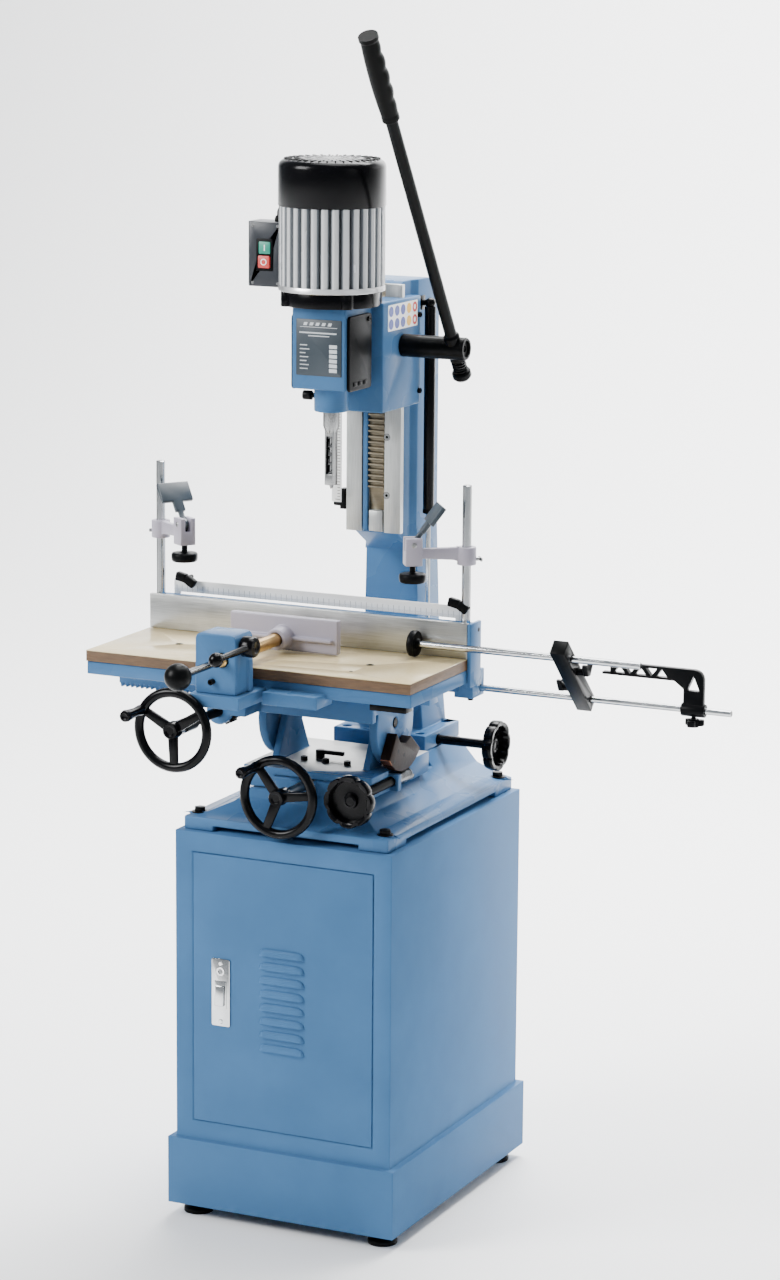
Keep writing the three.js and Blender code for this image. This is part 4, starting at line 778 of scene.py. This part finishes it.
def build_grip(lean):
    """A barrel grip with finger grooves on one side and a dished end."""
    bm = bmesh.new()
    base, length, count, around = 462, 158, 90, 48
    rings = []
    for i in range(count + 1):
        share = i / count
        body = 13.4 + 3.2 * math.sin(math.pi * min(max(share - 0.05, 0) * 1.05, 1)) ** 0.7
        if share > 0.95:
            body = 16.2
        elif share < 0.06:
            body = 14.4
        ribs = 2.6 * abs(math.cos(math.pi * (share - 0.16) * 5.6)) if 0.16 < share < 0.88 else 2.6
        ring = []
        for k in range(around):
            t = math.tau * k / around
            r = body + max(0, math.cos(t - 0.75)) * (ribs - 2.6)
            ring.append(bm.verts.new((r * math.cos(t), r * math.sin(t), base + length * share)))
        rings.append(ring)
    skin(bm, rings)
    bm.faces.new(rings[0][::-1])
    cap = bm.faces.new(rings[-1])
    bmesh.ops.inset_individual(bm, faces=[cap], thickness=3, depth=-1.5)
    ease(bm, list(bm.edges), 0.8, 2, 60)
    finish_piece("feed_lever_grip_ribbed", bm, "Black rubber", "lever", ["feed_lever_grip"], sharp=60,
                 place=lean)


# ---- slides, table and controls ----
def handwheel(name, cad, x, z, body, angle):
    """A round-rimmed wheel with three tapered spokes and a turned crank grip."""
    front, hub_back = low(cad).y, high(cad).y
    mid = hub_back - 22.5
    rim_r, rim, reach = 62, 8, 35
    bm = bmesh.new()
    turned(bm, "y", x, z, [(rim_r + rim * math.cos(t), mid + rim * math.sin(t))
                           for t in (math.tau * i / 16 for i in range(17))], 72)
    hub_front = mid - 11.5
    turned(bm, "y", x, z, [(0, hub_front + 2), (6, hub_front + 2), (7, hub_front + 0.6), (9, hub_front),
                           (12, hub_front), (13, hub_front + 1), (14.5, mid + 6), (13, mid + 8),
                           (12.6, hub_back), (0, hub_back)], 40)
    for i in range(3):
        swing = Matrix.Translation((x, mid, z)) @ Matrix.Rotation(-math.radians(angle + i * 120), 4, "Y")
        spoke = cube(bm, swing @ Matrix.Translation((reach, 0, 0)), (56, 8, 14))
        for v in [v for v in spoke if (swing.inverted() @ v.co).x < reach]:
            local = swing.inverted() @ v.co
            local.z *= 1.25
            v.co = swing @ local
        ease(bm, edges_of(spoke), 2.6, 3)
    finish_piece(name, bm, "Black gloss paint", body, [cad], sharp=40)
    gx, gz = arc(x, z, rim_r, angle, angle, 1)[0]
    bm = bmesh.new()
    turned(bm, "y", gx, gz, [(0, mid + 5), (5, mid + 5), (5, mid - 8), (9, mid - 9), (8.6, mid - 14),
                             (7.4, mid - 26), (9, front + 13), (10, front + 5), (9, front + 0.8), (6, front),
                             (4, front + 1.6), (0, front + 1.6)], 32)
    finish_piece(name + "_grip", bm, "Black gloss paint", body, slot="black_plastic", sharp=40)


def lobed_knob(name, axis, a, b, start, way, body, stands_for, shaft=None):
    """A dished hand knob with eight finger lobes."""
    sections = [(11, 0), (12, 0.6), (12, 5), (36, 7), (41.5, 9), (42.6, 12), (42.6, 24), (41, 26), (36, 26),
                (34.5, 24.5), (32.5, 11), (15, 9.4), (12.5, 10), (11.5, 17), (8, 18), (7, 16), (0, 16)]
    around = 96
    bm = bmesh.new()
    rings = []
    for r, d in sections:
        ring = []
        for k in range(around):
            t = math.tau * k / around
            lobe = 1 + 0.045 * (2 * abs(math.cos(4 * t)) ** 0.45 - 1.5) if r > 35.5 else 1
            ring.append(bm.verts.new(spot(axis, a + r * lobe * math.cos(t), b + r * lobe * math.sin(t),
                                          start + way * d)))
        rings.append(ring)
    skin(bm, rings)
    bm.faces.new(rings[0])
    bmesh.ops.remove_doubles(bm, verts=bm.verts, dist=0.001)
    if shaft:
        bar(bm, axis, a, b, shaft, start + way * 2, 8, 0.8, 32)
    finish_piece(name, bm, "Black gloss paint", body, stands_for, sharp=40)


SADDLE_TOP = 770


def build_slides():
    soften("saddle", ["Blue casting paint", "Ground steel"], 1.6, 2,
           choose=lambda c, n: int(n.z > 0.9 and abs(c.z - SADDLE_TOP) < 0.5 and abs(c.x) < 76), over=25)
    soften("saddle_lock_lever", "Black satin paint", 1.6, 3)
    soften("tilt_carrier", "Blue casting paint", 1.8, 2, over=25)
    soften("tilt_sector", ["Dark brown casting", "Copper"], 1.2, 2, choose=lambda c, n: int(c.y < -112))
    soften("worm_shaft", ["Turned steel", "Black satin paint"], 0.5, 2, choose=lambda c, n: int(c.y < -92))
    soften("cross_leadscrew", "Turned steel", 0.6)
    soften("traverse_pinion_shaft", "Black satin paint", 0.5)
    screw = middle("cross_leadscrew")
    shaft, shaft_front = middle("traverse_pinion_shaft"), low("traverse_pinion_shaft").y
    wheel_z = middle("traverse_handwheel").z
    handwheel("cross_wheel", "cross_handwheel", screw.x, screw.z, "leadscrew", 128)
    handwheel("traverse_wheel", "traverse_handwheel", shaft.x, wheel_z, "traverse", 152)
    worm = middle("worm_shaft")
    bm = bmesh.new()
    coil(bm, "y", worm.x, worm.z, high("worm_shaft").y - 38, 34 / 6, 6, 10.2, 1.5, 8)
    finish_piece("worm_thread", bm, "Turned steel", "worm")
    lobed_knob("worm_knob_lobed", "y", worm.x, worm.z, high("worm_knob").y, -1, "worm", ["worm_knob"])
    rear = high("rear_lock_knob")
    centre = middle("rear_lock_knob")
    lobed_knob("rear_knob_lobed", "x", centre.y, centre.z, rear.x - 26, 1, "rear_knob", ["rear_lock_knob"],
               shaft=low("rear_lock_knob").x)
    bm = bmesh.new()
    for x in (-40, 0, 40):
        socket_screw(bm, "z", x, -100, SADDLE_TOP, 6, 7)
    finish_piece("saddle_screws", bm, "Black satin paint", "saddle")
    # Dark discs on the sector: painted shade standing in for its three bolt holes.
    bm = bmesh.new()
    sector = high("tilt_sector").x
    for y, z in ((-104, 786), (-88, 800), (-66, 790)):
        turned(bm, "x", y, z, [(0, 0.2), (3.6, 0.2), (3.6, -1), (0, -1)], 20, sector)
    finish_piece("sector_hole_shade", bm, "Black rubber", "carrier", slot="black_metal")
    # A dark disc on the half-moon at the pivot: painted shade standing in for the pivot hole.
    bm = bmesh.new()
    disc_face = 110.2
    turned(bm, "x", -62, 842, [(0, 0.3), (7.4, 0.3), (8.6, -1), (0, -1)], 28, disc_face)
    finish_piece("pivot_hole_shade", bm, "Black rubber", "carrier", slot="black_metal")
    bm = bmesh.new()
    turned(bm, "y", shaft.x, wheel_z, [(8.2, 22), (12, 24), (12, 60), (8.2, 62)], 32, shaft_front)
    finish_piece("traverse_collar", bm, "Black satin paint", "traverse")


def build_table():
    soften("table_casting", "Blue casting paint", 1.6, 2, over=25)
    soften("table_top", "Laminated board", 0.6, 2)
    soften("fence_casting", "Blue casting paint", 1.6, 2)
    soften("fence_face", "Ground steel", 0.5, 2)
    soften("fence_ruler", "Graduated rule", 0.4, 1)
    soften("clamp_block", "Blue casting paint", 2.6, 3, over=20)
    soften("clamp_plate", "Lilac casting", 2.2, 3)
    bm = bmesh.new()
    top = high("table_top").z
    for x, y, r in ((-252, -145, 6.8), (106, -153, 6.8), (101, -214, 3.2)):
        turned(bm, "z", x, y, [(0, -2), (r * 0.6, -2), (r, -0.2), (r, 0.25), (r * 0.55, 0.2),
                               (r * 0.4, -1.4), (0, -1.4)], 28, top)
    finish_piece("table_screws", bm, "Black satin paint", "table")
    build_clamp()
    build_hold_downs()
    build_length_stop()
    build_fence_trim()


def build_fence_trim():
    end = high("fence_casting")
    # A dark disc on the fence end: painted shade standing in for a hole.
    bm = bmesh.new()
    turned(bm, "x", -8, 1001, [(0, 0.3), (3.6, 0.3), (4, -1), (0, -1)], 24, end.x)
    finish_piece("fence_end_hole_shade", bm, "Black rubber", "table", slot="black_metal")
    bm = bmesh.new()
    socket_screw(bm, "z", end.x - 26, 20, low("table_casting").z, 5, 8, -1)
    block(bm, 150, 215, -247, -222, 903, 914.5, 1.5)
    finish_piece("table_lock_screws", bm, "Black satin paint", "table")
    bm = bmesh.new()
    knob_z = 1043
    for x in (low("fence_ruler").x + 31, high("fence_ruler").x + 1):
        bar(bm, "y", x, knob_z, -24, -2, 4, 0.6, 20)
        for swing, reach in ((12, -9), (32, 9)):
            wing = Matrix.Translation((x, -22, knob_z)) @ Matrix.Rotation(math.radians(swing), 4, "Y")
            made = cube(bm, wing @ Matrix.Translation((reach, 0, 0)), (20, 12, 15))
            ease(bm, edges_of(made), 2.4, 3)
    finish_piece("ruler_knobs", bm, "Black moulded plastic", "table")


def build_clamp():
    x, z = -69, 981
    rod_low, rod_high = low("clamp_push_rod").y, high("clamp_push_rod").y
    ball_y = rod_low + 22
    bm = bmesh.new()
    ball(bm, x, ball_y, z, 22)
    turned(bm, "y", x, z, [(0, 17), (9, 17), (9.5, 18), (8, 30), (0, 30)], 32, ball_y)
    finish_piece("push_ball", bm, "Black satin paint", "clamp", slot="black_plastic")
    bm = bmesh.new()
    bar(bm, "y", x, z, ball_y + 25, -344, 6, 0.5, 32)
    finish_piece("push_rod_thin", bm, "Bright chrome", "clamp")
    bm = bmesh.new()
    turned(bm, "y", x, z, [(0, -346), (9.5, -346), (11, -344), (11, rod_high - 16), (9.4, rod_high - 14),
                           (9.4, rod_high), (0, rod_high)], 40)
    finish_piece("push_rod_brass", bm, "Turned brass", "clamp", ["clamp_push_rod"])
    hub_low, hub_high = low("clamp_lock_lever"), high("clamp_lock_lever")
    hub, end = Vector((hub_high.x - 12, hub_high.y - 17, middle("clamp_lock_lever").z)), hub_high.x
    tip = hub_low.y + 12
    bm = bmesh.new()
    turned(bm, "x", hub.y, hub.z, [(0, -24), (15, -24), (17, -22), (17, -4), (15.4, -1), (10, 0), (8, -1.5),
                                   (0, -1.5)], 40, end)
    bar(bm, "x", hub.y, hub.z, hub_low.x, end - 22, 5, 0.5, 20)
    ball(bm, hub.x + 1.4, tip, hub.z, 12)
    turned(bm, "y", hub.x + 1.4, hub.z, [(0, tip + 10), (5.4, tip + 10), (6.2, tip + 16), (5.2, tip + 20),
                                         (6, hub.y - 16), (8.5, hub.y - 10), (0, hub.y - 10)], 28)
    finish_piece("lock_lever_round", bm, "Black gloss paint", "clamp_lock", ["clamp_lock_lever"], sharp=45)
    bm = bmesh.new()
    socket_screw(bm, "y", -85, 945, low("clamp_block").y, 5, 9, -1)
    finish_piece("clamp_screw", bm, "Black satin paint", "table")


def build_hold_downs():
    for side in ("left", "right"):
        post = middle("holddown_post_" + side)
        post_low, post_high = low("holddown_post_" + side).z, high("holddown_post_" + side).z
        bm = bmesh.new()
        bar(bm, "z", post.x, post.y, post_low, post_high, 7.5, 1.2, 40)
        finish_piece("post_" + side, bm, "Bright chrome", "post_" + side, ["holddown_post_" + side])
        soften("holddown_arm_" + side, "Lilac casting", 1.4, 2)
        soften("holddown_paddle_" + side, "Plate grey", 1.8, 3)
        build_arm_trim(side, post)
        pad = middle("holddown_pad_" + side)
        foot = low("holddown_pad_" + side).z
        tall = high("holddown_pad_" + side).z - foot
        bm = bmesh.new()
        turned(bm, "z", pad.x, pad.y, [(0, 0), (20, 0), (21.6, 1.6), (22.4, 6), (22.4, 12), (21, 14.4),
                                       (18, 15), (10, 15), (5, 17), (5, tall), (0, tall)], 40, foot)
        finish_piece("pad_" + side, bm, "Black moulded plastic", "pad_" + side, ["holddown_pad_" + side],
                     sharp=50)


def build_arm_trim(side, post):
    """Pivot pin ends and the pinch screw, in the arm's own directions."""
    pad = middle("holddown_pad_" + side)
    heading = math.atan2(pad.y - post.y, pad.x - post.x)
    reach = math.hypot(pad.y - post.y, pad.x - post.x)
    place = Matrix.Translation((post.x, post.y, 0)) @ Matrix.Rotation(heading, 4, "Z")
    pivot = high("holddown_arm_" + side).z - 11
    collar = pivot - 21
    bm = bmesh.new()
    for s in (-1, 1):
        turned(bm, "y", reach, pivot, [(0, s * 15.2), (3, s * 15.2), (4.6, s * 14.2), (4.6, s * 13.6),
                                       (0, s * 13.6)], 24)
    turned(bm, "x", 0, collar - 6, [(0, -16), (3, -16), (3, -22), (0, -22)], 20)
    block(bm, -25, -21, -11, 11, collar - 9, collar - 3, 1.4)
    finish_piece("arm_trim_" + side, bm, "Turned steel", "arm_" + side, place=place)


def build_length_stop():
    for name, body, r, skipped in (("upper", "stop_reach", 5.8, 12), ("lower", "stop_rod", 5.3, 0)):
        rod = "stop_" + name + "_rod"
        at = middle(rod)
        bm = bmesh.new()
        bar(bm, "x", at.y, at.z, low(rod).x + skipped, high(rod).x, r, 0.8, 32)
        finish_piece(name + "_rod_bright", bm, "Bright chrome", body, [rod])
    disc = middle("stop_upper_rod")
    start = low("stop_upper_rod").x
    bm = bmesh.new()
    turned(bm, "x", disc.y, disc.z, [(0, 0), (19, 0), (21.4, 1.6), (22, 4), (22, 9), (20.5, 12), (9, 12),
                                     (8, 18), (0, 18)], 44, start)
    finish_piece("stop_disc", bm, "Black moulded plastic", "stop_reach", sharp=50)
    soften("stop_link_bar", "Black satin paint", 1.2, 2)
    soften("stop_truss_arm", "Black moulded plastic", 0.9, 2)
    for knob in ("stop_upper_wing_knob", "stop_lower_wing_knob", "stop_star_knob"):
        soften(knob, "Black moulded plastic", 1.4, 3)


# ---- stage ----
def see_through(tree, shader):
    """Clears the backs of the faces, so a view from behind the backdrop still shows the object."""
    facing = tree.nodes.new("ShaderNodeNewGeometry")
    clear = tree.nodes.new("ShaderNodeBsdfTransparent")
    mix = tree.nodes.new("ShaderNodeMixShader")
    tree.links.new(facing.outputs["Backfacing"], mix.inputs[0])
    tree.links.new(shader.outputs[0], mix.inputs[1])
    tree.links.new(clear.outputs[0], mix.inputs[2])
    tree.links.new(mix.outputs[0], tree.nodes["Material Output"].inputs["Surface"])


def build_backdrop():
    """A floor, in metres, that curves up into a wall behind the object."""
    floor = bpy.data.materials.new("Studio floor")
    floor.use_nodes = True
    shader = floor.node_tree.nodes["Principled BSDF"]
    shader.inputs["Base Color"].default_value = (0.96, 0.96, 0.96, 1)
    shader.inputs["Roughness"].default_value = 0.9
    see_through(floor.node_tree, shader)
    bm = bmesh.new()
    half, front, bend, curve, wall = 12, -9, 3.0, 2.5, 9
    sweep = [(front, 0), (bend, 0)] + arc(bend, curve, curve, -90, 0, 12) + [(bend + curve, wall)]
    verts = [bm.verts.new((-half, a, b)) for a, b in sweep]
    edges = [bm.edges.new(pair) for pair in zip(verts, verts[1:])]
    made = bmesh.ops.extrude_edge_only(bm, edges=edges)
    moved = [g for g in made["geom"] if isinstance(g, bmesh.types.BMVert)]
    bmesh.ops.translate(bm, verts=moved, vec=(2 * half, 0, 0))
    bm.normal_update()
    if min(face.normal.z for face in bm.faces) < -0.5:
        bmesh.ops.reverse_faces(bm, faces=bm.faces)
    mesh = bpy.data.meshes.new("studio_floor")
    bm.to_mesh(mesh)
    bm.free()
    mesh.shade_smooth()
    mesh.materials.append(floor)
    sheet = bpy.data.objects.new("studio_floor", mesh)
    bpy.context.scene.collection.objects.link(sheet)


# Place in metres from the object's foot, width in metres and power in watts; the key's power is a property.
LAMPS = {
    "key": ((-3.0, -3.2, 3.4), 2.2, None),
    "fill": ((4.2, -1.6, 2.4), 1.6, 8),
    "top": ((0.2, 0.4, 4.6), 2.4, 170),
    "rim": ((3.0, 2.8, 2.6), 1.4, 14),
    "sweep": ((0.0, 2.4, 4.6), 3.0, 900),
}


def build_stage(sizes):
    build_backdrop()
    world = bpy.data.worlds.new("Studio light")
    world.use_nodes = True
    world.node_tree.nodes["Background"].inputs["Color"].default_value = (0.85, 0.92, 1, 1)
    world.node_tree.nodes["Background"].inputs["Strength"].default_value = 0.3
    bpy.context.scene.world = world
    aim = ORIGIN + Vector((0, 0, 1.0))
    for name, (place, width, power) in LAMPS.items():
        light = bpy.data.lights.new(name, "AREA")
        light.shape = "SQUARE"
        light.size = width
        light.energy = sizes.key_power if power is None else power
        lamp = bpy.data.objects.new(name, light)
        lamp.location = ORIGIN + Vector(place)
        target = aim + Vector((0, 4.4, 0.4)) if name == "sweep" else aim
        lamp.rotation_euler = (target - lamp.location).to_track_quat("-Z", "Y").to_euler()
        bpy.context.scene.collection.objects.link(lamp)


def build_camera():
    """The camera of the main view: a long lens, 25 degrees to the right of the front and 11 above it."""
    data = bpy.data.cameras.new("photo_view")
    data.lens = 104.1
    camera = bpy.data.objects.new("photo_view", data)
    ahead = Vector((-0.4185, 0.8865, -0.1975)).normalized()
    turn = ahead.to_track_quat("-Z", "Y").to_matrix() @ Matrix.Rotation(math.radians(0.43), 3, "Z")
    camera.matrix_world = Matrix.Translation(ORIGIN + Vector((2.6587, -5.4848, 2.1886))) @ turn.to_4x4()
    bpy.context.scene.collection.objects.link(camera)
    bpy.context.scene.camera = camera


# ---- add-on ----
class MortiserColours(bpy.types.PropertyGroup):
    """Colours a user would change"""

    paint: bpy.props.FloatVectorProperty(
        name="Paint", description="Paint of the cabinet and castings", subtype="COLOR", size=4, min=0, max=1,
        default=linear("446A92"))
    housing: bpy.props.FloatVectorProperty(
        name="Motor housing", description="Cast aluminium of the motor housing", subtype="COLOR", size=4,
        min=0, max=1, default=linear("F0F1F2"))
    clamp: bpy.props.FloatVectorProperty(
        name="Clamp parts", description="Paint of the clamp plate and hold-down arms", subtype="COLOR",
        size=4, min=0, max=1, default=linear("A09BA8"))


class MortiserSizes(bpy.types.PropertyGroup):
    """Sizes a user would change"""

    motor_flutes: bpy.props.IntProperty(
        name="Motor flutes", description="Grooves round the motor housing", default=30, min=8, max=60)
    flute_depth: bpy.props.FloatProperty(
        name="Flute depth", description="Depth of a motor groove in millimetres", default=6.8, min=1, max=8)
    lead_thickness: bpy.props.FloatProperty(
        name="Switch lead", description="Thickness of the lead from switch to motor", default=0.0068,
        min=0.003, max=0.012, subtype="DISTANCE", unit="LENGTH")
    key_power: bpy.props.FloatProperty(
        name="Key light", description="Power of the main lamp", default=350, min=0, max=2000, subtype="POWER",
        unit="POWER")


class MortiserStep:
    bl_options = {"REGISTER", "UNDO"}


class MORTISER_OT_materials(MortiserStep, bpy.types.Operator):
    """Make the shared node groups and every material"""

    bl_idname = "mortiser.materials"
    bl_label = "Make materials"

    def execute(self, context):
        make_materials(context.scene.mortiser_colours)
        return {"FINISHED"}


class MORTISER_OT_stand(MortiserStep, bpy.types.Operator):
    """Build the cabinet, base casting, column and ways"""

    bl_idname = "mortiser.stand"
    bl_label = "Build stand"

    def execute(self, context):
        build_stand()
        return {"FINISHED"}


class MORTISER_OT_head(MortiserStep, bpy.types.Operator):
    """Build the head, motor, switch, chisel and feed lever"""

    bl_idname = "mortiser.head"
    bl_label = "Build head"

    def execute(self, context):
        build_head(context.scene.mortiser_sizes)
        return {"FINISHED"}


class MORTISER_OT_slides(MortiserStep, bpy.types.Operator):
    """Build the cross slide, tilting carrier, handwheels and knobs"""

    bl_idname = "mortiser.slides"
    bl_label = "Build slides"

    def execute(self, context):
        build_slides()
        return {"FINISHED"}


class MORTISER_OT_table(MortiserStep, bpy.types.Operator):
    """Build the table, fence, clamp, hold-downs and length stop"""

    bl_idname = "mortiser.table"
    bl_label = "Build table"

    def execute(self, context):
        build_table()
        return {"FINISHED"}


class MORTISER_OT_stage(MortiserStep, bpy.types.Operator):
    """Make the floor, lights and camera"""

    bl_idname = "mortiser.stage"
    bl_label = "Make stage"

    def execute(self, context):
        build_stage(context.scene.mortiser_sizes)
        build_camera()
        return {"FINISHED"}


class MORTISER_PT_panel(bpy.types.Panel):
    bl_idname = "MORTISER_PT_panel"
    bl_label = "Mortiser"
    bl_space_type = "VIEW_3D"
    bl_region_type = "UI"
    bl_category = "Mortiser"

    def draw(self, context):
        for group_of in (context.scene.mortiser_colours, context.scene.mortiser_sizes):
            for name in group_of.__annotations__:
                self.layout.prop(group_of, name)
        for operator in OPERATORS:
            self.layout.operator(operator.bl_idname)


OPERATORS = (MORTISER_OT_materials, MORTISER_OT_stand, MORTISER_OT_head, MORTISER_OT_slides,
             MORTISER_OT_table, MORTISER_OT_stage)
CLASSES = (MortiserColours, MortiserSizes, *OPERATORS, MORTISER_PT_panel)


def register():
    for one in CLASSES:
        bpy.utils.register_class(one)
    bpy.types.Scene.mortiser_colours = bpy.props.PointerProperty(type=MortiserColours)
    bpy.types.Scene.mortiser_sizes = bpy.props.PointerProperty(type=MortiserSizes)


def unregister():
    del bpy.types.Scene.mortiser_colours
    del bpy.types.Scene.mortiser_sizes
    for one in reversed(CLASSES):
        bpy.utils.unregister_class(one)


def main():
    register()
    bpy.ops.mortiser.materials()
    bpy.ops.mortiser.stand()
    bpy.ops.mortiser.head()
    bpy.ops.mortiser.slides()
    bpy.ops.mortiser.table()
    bpy.ops.mortiser.stage()


if __name__ == "__main__":
    main()
